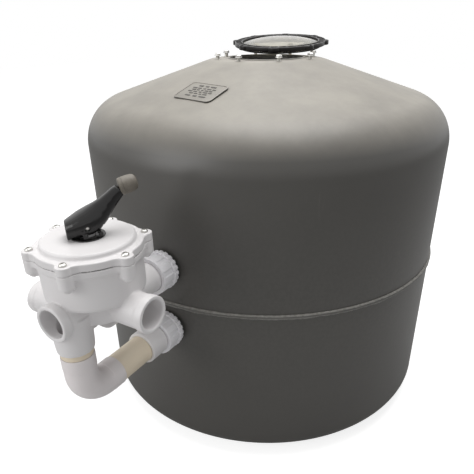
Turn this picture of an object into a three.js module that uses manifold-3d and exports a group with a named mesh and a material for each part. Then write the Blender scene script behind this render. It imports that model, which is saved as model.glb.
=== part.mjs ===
// Side-mount pool sand filter: a two-half moulded tank with a top manhole, a loose clear lid,
// a six-screw multiport valve on two unions, and the pipework and underdrain inside.
// Millimetres, +Z up. The origin is the centre of the flat underside, on the floor.
// The valve stands on the -Y side of the tank.
import * as THREE from "three";
import { mergeVertices } from "three/addons/utils/BufferGeometryUtils.js";
import Module from "manifold-3d";

const wasm = await Module();
wasm.setup();

// ---- driving dimensions -------------------------------------------------------------

const GAP = 0.3; // clearance between pieces that touch

// tank shell
const TANK_R = 381;
const WALL = 7;
const CROWN_Z = 736; // flat land round the manhole
const CONE_ANGLE = THREE.MathUtils.degToRad(18.2);
const SHOULDER_R = 89;
const SEAM_Z = 346;
const BASE_CORNER_R = 82;
const BASE_CORNER_H = 50;
const BAND_H = 10; // weld band round the seam
const BAND_T = 3.5;

// manhole and its bolts
const HOLE_R = 76.5;
const CROWN_R = 115; // outer edge of the flat land
const LIP_W = 3.5;
const LIP_H = 2.5;
const BOLTS = 8;
const BOLT_CIRCLE_R = 102;
const BOLT_PHASE = THREE.MathUtils.degToRad(-3.8);
const BOLT_R = 4;
const BOLT_STAND = 7; // bare shank above the land
const CAP_R = 7;
const CAP_H = 5.5;
const BACKED_OUT = 10; // the two rear bolts stand this much higher
const RAISED_BOLTS = [3, 4];

// loose lid
const LID_SHIFT_Y = 99; // how far the lid lies behind the manhole
const LID_SHIFT_X = -17;
const LID_REST_Z = 746; // underside of the gasket at the lid's centre
const LID_TILT = THREE.MathUtils.degToRad(5.7);
const LID_YAW = THREE.MathUtils.degToRad(18.7); // the lid is raised along this turn from +Y
const LENS_R = 91.5;
const LENS_FLANGE_T = 5;
const DOME_R = 80;
const DOME_RISE = 16;
const DOME_T = 4.5;
const DOME_HOLLOW = 8.2; // flat underside of the dome above its flange
const CLAMP_INNER_R = DOME_R + 4;
const CLAMP_W = 17;
const CLAMP_R = CLAMP_INNER_R + CLAMP_W;
const CLAMP_H = 9;
const LOBE_R = 8;
const GASKET_R = LENS_R - 0.5;
const GASKET_T = 5;

// name plate on the cone
const PLATE_W = 86;
const PLATE_H = 63;
const PLATE_T = 2;
const PLATE_CORNER_R = 7;
const PLATE_RADIUS = 237.5; // distance of its centre from the tank axis
const PLATE_AZIMUTH = THREE.MathUtils.degToRad(-90.9);
const PLATE_TWIST = THREE.MathUtils.degToRad(-7);

// pipework
const LOWER_UNION_Z = 292;
const UNION_SPACING = 125;
const UNION_STANDOFF = 11; // tank wall to the tank-side face of a union nut
const NUT_R = 35;
const NUT_L = 33;
const NUT_RIM_T = 5;
const NUT_LOBES = 10;
const NUT_GROOVE = 1.8; // depth between its ribs
const NUT_RIM_RISE = 1.2;
const NUT_LIP_T = 6;
const BULKHEAD_R = 31;
const BULKHEAD_BORE_R = 20;
const NECK_R = 25; // fitting where it passes the tank wall
const WALL_GASKET_T = 3;
const LOCKNUT_R = 36;
const LOCKNUT_T = 12;
const TAIL_R = 27; // union tailpiece where it passes the nut
const TAIL_FLANGE_T = 5;
const O_RING_T = 2.6;
const PIPE_R = 24.15;
const PIPE_WALL = 3.7;
const COLLAR_R = 29.5;
const COLLAR_L = 39;
const ELBOW_BEND_R = 42;
const ELBOW_R = 25.5;
const ELBOW_FOOT = 24; // straight foot after the bend
const SPIGOT_L = 17;
const SPIGOT_WALL = 3.2;

// valve
const VALVE_STANDOFF = 158.3; // tank wall to the valve axis
const BODY_R = 74.5;
const BODY_WALL = 7.5;
const BODY_H = 66;
const FRONT_PORT_RISE = 22; // front and side ports above the tank port
const BODY_RISE = 14; // underside of the body above the front port's axis
const CHAMBER_R = 52.5;
const FLANGE_W = 3;
const FLANGE_R = BODY_R + FLANGE_W;
const FLANGE_H = 9.5;
const LUGS = 6;
const LUG_STANDOFF = 5.3; // lug circle outside the body's wall
const LUG_CIRCLE_R = BODY_R + LUG_STANDOFF;
const LUG_R = 11;
const LUG_H = 20;
const LUG_PHASE = THREE.MathUtils.degToRad(-7.75);
const PORT_R = 26.6;
const PORT_RIM_R = 28.1;
const PORT_RIM_L = 17;
const PORT_BORE_R = 22;
const PORT_DEPTH = 44;
const FRONT_REACH = 89.5;
const SIDE_REACH = 106.8;
const REAR_REACH = 139;
const REAR_PORT_DROP = 17; // rear port below the tank port's axis
const TANK_PORT_R = 33.5;
const TANK_PORT_L = 65;
const OUTLET_OFFSET = 56;
const OUTLET_R = 28.7;
const OUTLET_DROP = 25; // outlet mouth below the tank port's axis
const STUB_SHOWN = 21;

// cover, rotor and lever
const COVER_GASKET_T = 0.8;
const COVER_H = 10.9;
const PLATEAU_INSET = 7; // plateau's edge inside the body's wall
const PLATEAU_R = BODY_R - PLATEAU_INSET;
const PLATEAU_H = 7.7;
const SHAFT_R = 11;
const RUNNING = 0.6; // running clearance round the shaft
const ROTOR_T = 11.5;
const ROTOR_CLEARANCE = 1.5;
const SPIDER_T = 3;
const SCREW_R = 2.4;
const SCREW_HEAD_R = 5.5;
const SCREW_HEAD_H = 3.6;
const SCREW_L = 28;
const SPRING_R = 18;
const SPRING_WIRE_R = 1.6;
const SPRING_TURNS = 4.5;
const THRUST_R = 25;
const THRUST_T = 1.6;
const LEVER_AZIMUTH = THREE.MathUtils.degToRad(52.5);
const PIN_RISE = 17; // lever pin above the cover's plateau
const PIN_R = 3;
const HUB_HALF_WIDTH = 25;
const ARM_HALF_WIDTH = 8.5;
const ARM_HALF_HEIGHT = 10.8;
const LEVER_REACH = 53;
const LEVER_HEEL = 29; // back of the lever's foot behind the shaft
const LEVER_TOE = 19; // flat underside ahead of the shaft
const LEVER_TOE_CURVE = 7; // underside's curve ahead of the toe
const LEVER_BACK_H = 26; // top of the hub at the back
const LEVER_HEEL_CHAMFER = 5;
const LEVER_BROW_X = 14; // where the hub's top turns up into the arm
const LEVER_WAIST_X = 26; // where the hub narrows to the arm
const LEVER_FLANK = 10; // half of the hub's straight flank
const LEVER_SLOT_FRONT = 23.5;
const LEVER_RISE = 58.5; // middle of the arm's end above its foot
const CAP_KNOB_R = 12;
const CAP_KNOB_L = 25;
const CAP_LEAN = THREE.MathUtils.degToRad(56);

// inside the tank
const RISER_R = 20;
const RISER_WALL = 3.5;
const RISER_INSET = 72; // fitting to the riser's axis
const RISER_TOP_Z = 560;
const BEND_R = 40;
const DIFFUSER_R = 55;
const DIFFUSER_H = 34;
const HUB_R = 46;
const HUB_H = 50;
const HUB_Z = 62;
const LATERALS = 8;
const LATERAL_R = 12;
const LATERAL_WALL = 2.4;
const LATERAL_L = 250;
const LATERAL_SPIGOT_R = 8.6;
const LATERAL_SPIGOT_START = 24; // from the hub's axis
const DRAIN_Z = 82;
const DRAIN_R = 13;
const DRAIN_HEAD_R = 19;

// facets round a full turn
const TANK_SEGMENTS = 40;
const BODY_SEGMENTS = 28;
const PIPE_SEGMENTS = 16;
const SMALL_SEGMENTS = 8;

// ---- places worked out from the dimensions ------------------------------------------

const UPPER_UNION_Z = LOWER_UNION_Z + UNION_SPACING;
const VALVE_Y = -(TANK_R + VALVE_STANDOFF);
const FRONT_PORT_Z = UPPER_UNION_Z + FRONT_PORT_RISE;
const BODY_Z = FRONT_PORT_Z + BODY_RISE;
const RIM_Z = BODY_Z + BODY_H;
const COVER_Z = RIM_Z + 2 * GAP + COVER_GASKET_T;
const FLANGE_TOP_Z = COVER_Z + COVER_H;
const PLATEAU_Z = FLANGE_TOP_Z + PLATEAU_H;
const FLOOR_Z = BODY_Z + 2 * BODY_WALL;
const ROTOR_Z = FLOOR_Z + SPIDER_T + 2 * GAP;
const PIN_Z = PLATEAU_Z + PIN_RISE;
const CEILING_Z = FLANGE_TOP_Z - 2;
// distances from the tank axis along the union's axis
const NUT_BACK = TANK_R + UNION_STANDOFF;
const NUT_FRONT = NUT_BACK + NUT_L;
const TAIL_FACE = NUT_FRONT - NUT_LIP_T - GAP - TAIL_FLANGE_T;
const BULKHEAD_FACE = TAIL_FACE - O_RING_T - 2 * GAP;
const BULKHEAD_BACK = TANK_R + WALL_GASKET_T + GAP;
// the locknut's corners clear the wall's inner facets
const LOCKNUT_FACE = Math.sqrt((TANK_R - WALL) ** 2 - LOCKNUT_R ** 2) * Math.cos(Math.PI / TANK_SEGMENTS) - GAP;
const FITTING_END = LOCKNUT_FACE - LOCKNUT_T - 8;
const REAR_PORT_Z = UPPER_UNION_Z - REAR_PORT_DROP;
const OUTLET_MOUTH_Z = UPPER_UNION_Z - OUTLET_DROP;
const ELBOW_TOP_Z = OUTLET_MOUTH_Z - STUB_SHOWN;
const LEVER_DIRECTION = new THREE.Vector3(Math.cos(LEVER_AZIMUTH), Math.sin(LEVER_AZIMUTH), 0);

// ---- materials ----------------------------------------------------------------------

const plastic = (color, roughness) => new THREE.MeshStandardMaterial({ color, roughness, metalness: 0 });
const MATERIALS = {
  tank: plastic(0x6b6864, 0.45),
  plate: plastic(0x5f5d5a, 0.5),
  valve: plastic(0xd9d7da, 0.4),
  pipe: plastic(0xcdc2a8, 0.5),
  elbow: plastic(0xc9c9cd, 0.45),
  lever: plastic(0x16161a, 0.25),
  knob: plastic(0x5a5148, 0.5),
  rubber: plastic(0x1b1b1b, 0.8),
  lens: new THREE.MeshStandardMaterial({ color: 0x8c8273, roughness: 0.1, transparent: true, opacity: 0.45 }),
  steel: new THREE.MeshStandardMaterial({ color: 0xc9c9c6, roughness: 0.3, metalness: 1 }),
  inner: plastic(0xbfc3c6, 0.5),
};

// ---- solids -------------------------------------------------------------------------

function toSolid(geometry) {
  const bare = new THREE.BufferGeometry().setAttribute("position", geometry.getAttribute("position").clone());
  if (geometry.index) bare.setIndex(geometry.index.clone());
  const merged = mergeVertices(bare, 1e-4);
  const corners = [];
  for (let i = 0; i < merged.index.count; i += 3) {
    const [a, b, c] = [0, 1, 2].map((k) => merged.index.getX(i + k));
    if (a !== b && b !== c && c !== a) corners.push(a, b, c);
  }
  const mesh = new wasm.Mesh({
    numProp: 3,
    vertProperties: new Float32Array(merged.getAttribute("position").array),
    triVerts: new Uint32Array(corners),
  });
  return new wasm.Manifold(mesh);
}

function toGeometry(solid) {
  const mesh = solid.getMesh();
  const positions = new Float32Array(mesh.numVert * 3);
  for (let i = 0; i < mesh.numVert; i++) {
    positions.set(mesh.vertProperties.subarray(i * mesh.numProp, i * mesh.numProp + 3), i * 3);
  }
  const geometry = new THREE.BufferGeometry();
  geometry.setAttribute("position", new THREE.BufferAttribute(positions, 3));
  geometry.setIndex(new THREE.BufferAttribute(new Uint32Array(mesh.triVerts), 1));
  geometry.computeVertexNormals();
  return geometry;
}

function join(first, ...others) {
  return toGeometry(others.reduce((solid, other) => solid.add(toSolid(other)), toSolid(first)));
}

function cut(first, ...tools) {
  return toGeometry(tools.reduce((solid, tool) => solid.subtract(toSolid(tool)), toSolid(first)));
}

function common(first, second) {
  return toGeometry(toSolid(first).intersect(toSolid(second)));
}

// Turns a profile of [radius, height] points about +Z. A profile that doesn't end on the axis is closed.
function lathe(profile, segments) {
  let area = 0;
  profile.forEach(([r, z], i) => {
    const [nextR, nextZ] = profile[(i + 1) % profile.length];
    area += r * nextZ - nextR * z;
  });
  const points = area > 0 ? [...profile] : [...profile].reverse();
  const onAxis = points[0][0] === 0 && points.at(-1)[0] === 0;
  if (!onAxis) points.push(points[0]);
  const outline = points.map(([r, z]) => new THREE.Vector2(r, z));
  return new THREE.LatheGeometry(outline, segments).rotateX(Math.PI / 2);
}

function rod(radius, low, high, segments) {
  return lathe([[0, low], [radius, low], [radius, high], [0, high]], segments);
}

function ring(inner, outer, low, high, segments) {
  return lathe([[inner, low], [outer, low], [outer, high], [inner, high]], segments);
}

function block(x, y, z, sx, sy, sz) {
  return new THREE.BoxGeometry(sx, sy, sz).translate(x, y, z);
}

// The height of a lathed piece is laid along -Y, or along +X.
const towardsMinusY = (geometry) => geometry.rotateX(Math.PI / 2);
const towardsPlusX = (geometry) => geometry.rotateY(Math.PI / 2);

function onCircle(radius, count, phase, index) {
  const angle = phase + (index * 2 * Math.PI) / count;
  return new THREE.Vector3(radius * Math.cos(angle), radius * Math.sin(angle), 0);
}

// A pipe run in the YZ plane: a straight leg, one bend and a second leg.
const BEND_STEPS = 6;
class PipeRun extends THREE.Curve {
  constructor({ start, centreY, centreZ, bendR, from, to, end }) {
    super();
    Object.assign(this, { start, centreY, centreZ, bendR, from, to, end });
  }
  onBend(t, target) {
    const angle = this.from + t * (this.to - this.from);
    return target.set(0, this.centreY + this.bendR * Math.cos(angle),
        this.centreZ + this.bendR * Math.sin(angle));
  }
  getPoint(t, target = new THREE.Vector3()) {
    const station = t * (BEND_STEPS + 2);
    if (station < 1) return target.copy(this.start).lerp(this.onBend(0, new THREE.Vector3()), station);
    const past = station - BEND_STEPS - 1;
    if (past > 0) return this.onBend(1, target).lerp(this.end, past);
    return this.onBend((station - 1) / BEND_STEPS, target);
  }
  getUtoTmapping(u) {
    return u;
  }
}

function bentPipe(outer, inner, run) {
  const section = new THREE.Shape().absarc(0, 0, outer, 0, 2 * Math.PI);
  section.holes.push(new THREE.Path().absarc(0, 0, inner, 0, 2 * Math.PI, true));
  return new THREE.ExtrudeGeometry(section, {
    extrudePath: new PipeRun(run),
    steps: BEND_STEPS + 2,
    curveSegments: PIPE_SEGMENTS / 2,
    bevelEnabled: false,
  });
}

const nodes = [];
function add(group, name, geometry, material) {
  const mesh = new THREE.Mesh(geometry, material);
  mesh.name = name;
  group.add(mesh);
  nodes.push(mesh);
  return mesh;
}

const filter = new THREE.Group();
const valve = new THREE.Group();
valve.position.y = VALVE_Y;
filter.add(valve);

// ---- tank ---------------------------------------------------------------------------

function arcPoints(centreR, centreZ, radiusR, radiusZ, start, end, steps) {
  return Array.from({ length: steps + 1 }, (_, i) => {
    const angle = start + ((end - start) * i) / steps;
    return [centreR + radiusR * Math.cos(angle), centreZ + radiusZ * Math.sin(angle)];
  });
}

// The crown from the manhole to the seam, set in from the outer face by an inset.
function crownProfile(inset, inner, low) {
  const centreR = TANK_R - SHOULDER_R;
  const drop = (CROWN_R - centreR) * Math.sin(CONE_ANGLE) + CROWN_Z * Math.cos(CONE_ANGLE) - SHOULDER_R;
  const centreZ = drop / Math.cos(CONE_ANGLE);
  const bend = SHOULDER_R - inset;
  return [
    [inner, CROWN_Z - inset],
    [CROWN_R - inset * Math.tan(CONE_ANGLE / 2), CROWN_Z - inset],
    ...arcPoints(centreR, centreZ, bend, bend, Math.PI / 2 - CONE_ANGLE, 0, 6),
    [TANK_R - inset, low],
  ];
}

function baseProfile(inset, high) {
  const across = BASE_CORNER_R - inset;
  const up = BASE_CORNER_H - inset;
  return [
    [TANK_R - inset, high],
    ...arcPoints(TANK_R - BASE_CORNER_R, BASE_CORNER_H, across, up, 0, -Math.PI / 2, 6),
    [0, inset],
  ];
}

// A round hole through the wall on the -Y side, or on the +Y side.
function wallHole(radius, z, side) {
  const tool = towardsMinusY(rod(radius, TANK_R - 4 * WALL, TANK_R + 2 * WALL, PIPE_SEGMENTS));
  if (side > 0) tool.rotateZ(Math.PI);
  return tool.translate(0, 0, z);
}

function upperShell() {
  const outer = crownProfile(0, HOLE_R + LIP_W, SEAM_Z + GAP);
  const inner = crownProfile(WALL, HOLE_R, SEAM_Z + GAP);
  const lip = [[HOLE_R, CROWN_Z + LIP_H], [HOLE_R + LIP_W, CROWN_Z + LIP_H]];
  const shell = lathe([...inner.reverse(), ...lip, ...outer], TANK_SEGMENTS);
  const boltHoles = Array.from({ length: BOLTS }, (_, i) => {
    const place = onCircle(BOLT_CIRCLE_R, BOLTS, BOLT_PHASE, i);
    const hole = rod(BOLT_R + GAP, CROWN_Z - 2 * WALL, CROWN_Z + WALL, SMALL_SEGMENTS);
    return hole.translate(place.x, place.y, 0);
  });
  return cut(shell, wallHole(NECK_R + GAP, UPPER_UNION_Z, -1), ...boltHoles);
}

function lowerShell() {
  const outer = baseProfile(0, SEAM_Z - GAP);
  const inner = baseProfile(WALL, SEAM_Z - GAP);
  const shell = lathe([...outer.reverse(), ...inner], TANK_SEGMENTS);
  const unionHole = wallHole(NECK_R + GAP, LOWER_UNION_Z, -1);
  const drainHole = wallHole(DRAIN_R + GAP, DRAIN_Z, 1);
  return cut(shell, unionHole, drainHole);
}

function seamBand() {
  const inner = TANK_R + GAP;
  const bevel = BAND_T / 2;
  const band = lathe(
    [
      [inner, SEAM_Z - BAND_H],
      [inner + bevel, SEAM_Z - BAND_H],
      [inner + BAND_T, SEAM_Z - BAND_H + bevel],
      [inner + BAND_T, SEAM_Z - bevel],
      [inner + bevel, SEAM_Z],
      [inner, SEAM_Z],
    ],
    TANK_SEGMENTS,
  );
  return cut(band, wallHole(NUT_R + 1, LOWER_UNION_Z, -1));
}

function roundedRectangle(width, height, corner) {
  const x = width / 2;
  const y = height / 2;
  const shape = new THREE.Shape();
  shape.absarc(x - corner, y - corner, corner, 0, Math.PI / 2);
  shape.absarc(-x + corner, y - corner, corner, Math.PI / 2, Math.PI);
  shape.absarc(-x + corner, -y + corner, corner, Math.PI, 1.5 * Math.PI);
  shape.absarc(x - corner, -y + corner, corner, 1.5 * Math.PI, 2 * Math.PI);
  return shape;
}

// The plate is the part of a thin conical skin inside a rounded rectangle.
function namePlate() {
  const slope = (radius, lift) => [
    radius + lift * Math.sin(CONE_ANGLE),
    CROWN_Z - (radius - CROWN_R) * Math.tan(CONE_ANGLE) + lift * Math.cos(CONE_ANGLE),
  ];
  const nearest = PLATE_RADIUS - PLATE_H;
  const furthest = PLATE_RADIUS + PLATE_H;
  const skin = lathe(
    [slope(nearest, GAP), slope(furthest, GAP), slope(furthest, GAP + PLATE_T),
        slope(nearest, GAP + PLATE_T)],
    TANK_SEGMENTS,
  );
  const outline = roundedRectangle(PLATE_W, PLATE_H, PLATE_CORNER_R);
  const depth = 20 * PLATE_T;
  const stamp = new THREE.ExtrudeGeometry(outline, { depth, bevelEnabled: false, curveSegments: 4 });
  stamp.translate(0, 0, -depth / 2).rotateZ(PLATE_TWIST).rotateX(CONE_ANGLE);
  stamp.translate(0, -PLATE_RADIUS, slope(PLATE_RADIUS, 0)[1]);
  stamp.rotateZ(PLATE_AZIMUTH + Math.PI / 2);
  return common(skin, stamp);
}

function manholeBolt(stand) {
  const foot = CROWN_Z - 2 * WALL - 4;
  const shankTop = CROWN_Z + stand;
  const crown = shankTop + CAP_H;
  return lathe(
    [
      [0, foot],
      [BOLT_R, foot],
      [BOLT_R, shankTop],
      [CAP_R, shankTop],
      [CAP_R, crown - CAP_H / 3],
      [CAP_R / 2, crown],
      [0, crown],
    ],
    SMALL_SEGMENTS,
  );
}

function buildTank() {
  add(filter, "tank_upper_shell", upperShell(), MATERIALS.tank);
  add(filter, "tank_lower_shell", lowerShell(), MATERIALS.tank);
  add(filter, "seam_band", seamBand(), MATERIALS.tank);
  add(filter, "name_plate", namePlate(), MATERIALS.plate);
  for (let i = 0; i < BOLTS; i++) {
    const stand = BOLT_STAND + (RAISED_BOLTS.includes(i) ? BACKED_OUT : 0);
    const bolt = add(filter, "manhole_bolt_" + (i + 1), manholeBolt(stand), MATERIALS.steel);
    bolt.position.copy(onCircle(BOLT_CIRCLE_R, BOLTS, BOLT_PHASE - Math.PI / 4, i));
  }
}

// ---- lid ----------------------------------------------------------------------------

function lidDome() {
  const low = GASKET_T + GAP;
  const high = low + LENS_FLANGE_T;
  const sphere = (DOME_R ** 2 + DOME_RISE ** 2) / (2 * DOME_RISE);
  const start = Math.PI / 2 - Math.asin(DOME_R / sphere);
  const outside = arcPoints(0, high + DOME_RISE - sphere, sphere, sphere, start, Math.PI / 2, 6);
  outside.at(-1)[0] = 0;
  const rim = DOME_R - DOME_T;
  const inside = [[0, low + DOME_HOLLOW], [0.8 * rim, low + DOME_HOLLOW], [rim, low]];
  return lathe([...inside, [LENS_R, low], [LENS_R, high], ...outside], BODY_SEGMENTS);
}

function clampRing() {
  const low = GASKET_T + LENS_FLANGE_T + 2 * GAP;
  const high = low + CLAMP_H;
  const places = Array.from({ length: BOLTS }, (_, i) => onCircle(BOLT_CIRCLE_R, BOLTS, 0, i));
  const lobes = places.map((p) => rod(LOBE_R, low, high, SMALL_SEGMENTS).translate(p.x, p.y, 0));
  const holes = places.map((p) => rod(BOLT_R + 2 * GAP, low - 1, high + 1, SMALL_SEGMENTS).translate(p.x,
      p.y, 0));
  return cut(join(ring(CLAMP_INNER_R, CLAMP_R, low, high, BODY_SEGMENTS), ...lobes), ...holes);
}

function buildLid() {
  const lid = new THREE.Group();
  lid.position.set(LID_SHIFT_X, LID_SHIFT_Y, CROWN_Z + LID_REST_Z - 736);
  lid.rotation.set(LID_TILT, 0, LID_YAW, "ZXY");
  filter.add(lid);
  add(lid, "lid_gasket", ring(DOME_R, GASKET_R, 0, GASKET_T, BODY_SEGMENTS), MATERIALS.rubber);
  add(lid, "lid_dome", lidDome(), MATERIALS.lens);
  add(lid, "lid_clamp_ring", clampRing(), MATERIALS.lever);
}

// ---- valve body ---------------------------------------------------------------------

// A port is a round tube with a thicker rim and a blind bore; both start at the valve's axis.
function portTube(start, reach) {
  return join(
    rod(PORT_R, start, reach, PIPE_SEGMENTS),
    ring(PORT_BORE_R, PORT_RIM_R, reach - PORT_RIM_L, reach, PIPE_SEGMENTS),
  );
}

const portBore = (reach) => rod(PORT_BORE_R, reach - PORT_DEPTH, reach + 1, PIPE_SEGMENTS);

function lugBoss() {
  const top = RIM_Z;
  const tip = top - LUG_H - LUG_R;
  const outline = [[0, tip], [LUG_R / 3, tip], [LUG_R, top - LUG_H], [LUG_R, top], [0, top]];
  return lathe(outline, SMALL_SEGMENTS);
}

const lugPlaces = () => Array.from({ length: LUGS }, (_, i) => onCircle(LUG_CIRCLE_R, LUGS, LUG_PHASE, i));

function bodyCup() {
  const chamfer = BODY_WALL - 1;
  return lathe(
    [
      [0, BODY_Z],
      [BODY_R - chamfer, BODY_Z],
      [BODY_R, BODY_Z + chamfer],
      [BODY_R, RIM_Z - FLANGE_H],
      [FLANGE_R, RIM_Z - FLANGE_H],
      [FLANGE_R, RIM_Z],
      [BODY_R - BODY_WALL, RIM_Z],
      [BODY_R - BODY_WALL, FLOOR_Z],
      [0, FLOOR_Z],
    ],
    BODY_SEGMENTS,
  );
}

function valveBody() {
  const axisLength = -VALVE_Y;
  const front = towardsMinusY(portTube(0, FRONT_REACH)).translate(0, 0, FRONT_PORT_Z);
  const side = towardsPlusX(portTube(0, SIDE_REACH)).translate(0, 0, FRONT_PORT_Z);
  const rear = towardsPlusX(portTube(BODY_R / 4, REAR_REACH)).rotateZ(Math.PI).translate(0, 0, REAR_PORT_Z);
  // the tank port: thick root, neck through the nut, and the flange that the nut pulls on
  const tankPort = lathe(
    [
      [0, 0],
      [TANK_PORT_R, 0],
      [TANK_PORT_R, TANK_PORT_L],
      [TAIL_R, TANK_PORT_L + TANK_PORT_R - TAIL_R],
      [TAIL_R, axisLength - TAIL_FACE - TAIL_FLANGE_T],
      [BULKHEAD_R, axisLength - TAIL_FACE - TAIL_FLANGE_T],
      [BULKHEAD_R, axisLength - TAIL_FACE],
      [0, axisLength - TAIL_FACE],
    ],
    PIPE_SEGMENTS,
  );
  towardsMinusY(tankPort).rotateZ(Math.PI).translate(0, 0, UPPER_UNION_Z);
  const outlet = rod(OUTLET_R, OUTLET_MOUTH_Z, FRONT_PORT_Z, PIPE_SEGMENTS).translate(0, -OUTLET_OFFSET, 0);
  const chamber = rod(CHAMBER_R, UPPER_UNION_Z + TANK_PORT_R / 3, BODY_Z + BODY_WALL, BODY_SEGMENTS);
  const lugs = lugPlaces().map((p) => lugBoss().translate(p.x, p.y, 0));
  const solid = join(bodyCup(), chamber, front, side, rear, tankPort, outlet, ...lugs);

  const frontBore = towardsMinusY(portBore(FRONT_REACH)).translate(0, 0, FRONT_PORT_Z);
  const sideBore = towardsPlusX(portBore(SIDE_REACH)).translate(0, 0, FRONT_PORT_Z);
  const rearBore = towardsPlusX(portBore(REAR_REACH)).rotateZ(Math.PI).translate(0, 0, REAR_PORT_Z);
  const tankBore = rod(BULKHEAD_BORE_R, BODY_R / 2, axisLength - TAIL_FACE + 1, PIPE_SEGMENTS);
  towardsMinusY(tankBore).rotateZ(Math.PI).translate(0, 0, UPPER_UNION_Z);
  const outletBore = rod(BULKHEAD_BORE_R, OUTLET_MOUTH_Z - 1, FRONT_PORT_Z, PIPE_SEGMENTS);
  outletBore.translate(0, -OUTLET_OFFSET, 0);
  const socket = rod(PIPE_R + GAP, OUTLET_MOUTH_Z - 1, OUTLET_MOUTH_Z + SPIGOT_L, PIPE_SEGMENTS);
  socket.translate(0, -OUTLET_OFFSET, 0);
  const screwHoles = lugPlaces().map((p) => {
    const hole = rod(SCREW_R + GAP, FLANGE_TOP_Z - SCREW_L - 2, RIM_Z + 1, SMALL_SEGMENTS);
    return hole.translate(p.x, p.y, 0);
  });
  return cut(solid, frontBore, sideBore, rearBore, tankBore, outletBore, socket, ...screwHoles);
}

// ---- cover, rotor and lever ---------------------------------------------------------

function valveCover() {
  const chamfer = 2;
  const hole = SHAFT_R + RUNNING;
  const plate = lathe(
    [
      [hole, CEILING_Z],
      [BODY_R - 2 * BODY_WALL, CEILING_Z],
      [BODY_R - 2 * BODY_WALL, COVER_Z],
      [FLANGE_R, COVER_Z],
      [FLANGE_R, FLANGE_TOP_Z],
      [PLATEAU_R + chamfer, FLANGE_TOP_Z],
      [PLATEAU_R, PLATEAU_Z - chamfer],
      [PLATEAU_R - chamfer, PLATEAU_Z],
      [hole, PLATEAU_Z],
    ],
    BODY_SEGMENTS,
  );
  const lugs = lugPlaces().map((p) => rod(LUG_R, COVER_Z, FLANGE_TOP_Z, SMALL_SEGMENTS).translate(p.x, p.y,
      0));
  const holes = lugPlaces().map((p) => {
    const hole = rod(SCREW_R + GAP, COVER_Z - 1, FLANGE_TOP_Z + 1, SMALL_SEGMENTS);
    return hole.translate(p.x, p.y, 0);
  });
  return cut(join(plate, ...lugs), ...holes);
}

function coverScrew() {
  const seat = FLANGE_TOP_Z + GAP;
  const screw = lathe(
    [
      [0, FLANGE_TOP_Z - SCREW_L],
      [SCREW_R, FLANGE_TOP_Z - SCREW_L],
      [SCREW_R, seat],
      [SCREW_HEAD_R, seat],
      [SCREW_HEAD_R, seat + SCREW_HEAD_H / 2],
      [SCREW_HEAD_R * 0.7, seat + SCREW_HEAD_H],
      [0, seat + SCREW_HEAD_H],
    ],
    SMALL_SEGMENTS,
  );
  const slotDepth = SCREW_HEAD_H / 2;
  const slotZ = seat + SCREW_HEAD_H - slotDepth / 2 + 0.5;
  const slot = block(0, 0, slotZ, SCREW_HEAD_R, 1.2, slotDepth + 1);
  return cut(screw, slot, slot.clone().rotateZ(Math.PI / 2));
}

function rotor() {
  const discR = BODY_R - BODY_WALL - ROTOR_CLEARANCE;
  const shaftTop = PIN_Z + 2 * PIN_R;
  const wheel = lathe(
    [
      [0, ROTOR_Z],
      [discR, ROTOR_Z],
      [discR, ROTOR_Z + ROTOR_T],
      [SHAFT_R, ROTOR_Z + ROTOR_T],
      [SHAFT_R, shaftTop],
      [0, shaftTop],
    ],
    BODY_SEGMENTS,
  );
  const flowR = discR / 4;
  const flow = rod(flowR, ROTOR_Z - 1, ROTOR_Z + ROTOR_T + 1, PIPE_SEGMENTS).translate(discR - 1.5 * flowR,
      0, 0);
  const pinHole = rod(PIN_R + GAP, -2 * SHAFT_R, 2 * SHAFT_R, SMALL_SEGMENTS);
  towardsMinusY(pinHole).rotateZ(LEVER_AZIMUTH).translate(0, 0, PIN_Z);
  return cut(wheel, flow, pinHole);
}

// A flat rubber wheel: a rim, a hub and spokes between the valve's chambers.
function spiderGasket() {
  const low = FLOOR_Z + GAP;
  const high = low + SPIDER_T;
  const outer = BODY_R - BODY_WALL - ROTOR_CLEARANCE;
  const width = 5;
  const spokes = Array.from({ length: LUGS }, (_, i) => {
    const length = outer - 2 * width;
    const spoke = block(width + length / 2, 0, (low + high) / 2, length, width, SPIDER_T);
    return spoke.rotateZ((i * 2 * Math.PI) / LUGS);
  });
  return join(ring(outer - width, outer, low, high, BODY_SEGMENTS),
      rod(2 * width, low, high, PIPE_SEGMENTS), ...spokes);
}

class Helix extends THREE.Curve {
  constructor(radius, low, high, turns) {
    super();
    Object.assign(this, { radius, low, high, turns });
  }
  getPoint(t, target = new THREE.Vector3()) {
    const angle = t * this.turns * 2 * Math.PI;
    const z = this.low + t * (this.high - this.low);
    return target.set(this.radius * Math.cos(angle), this.radius * Math.sin(angle), z);
  }
}

function rotorSpring() {
  const low = ROTOR_Z + ROTOR_T + SPRING_WIRE_R + 2 * GAP;
  const high = CEILING_Z - SPRING_WIRE_R - 2 * GAP;
  const wire = new THREE.Shape().absarc(0, 0, SPRING_WIRE_R, 0, 2 * Math.PI);
  return new THREE.ExtrudeGeometry(wire, {
    extrudePath: new Helix(SPRING_R, low, high, SPRING_TURNS),
    steps: 8 * SPRING_TURNS,
    curveSegments: 3,
    bevelEnabled: false,
  });
}

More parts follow.
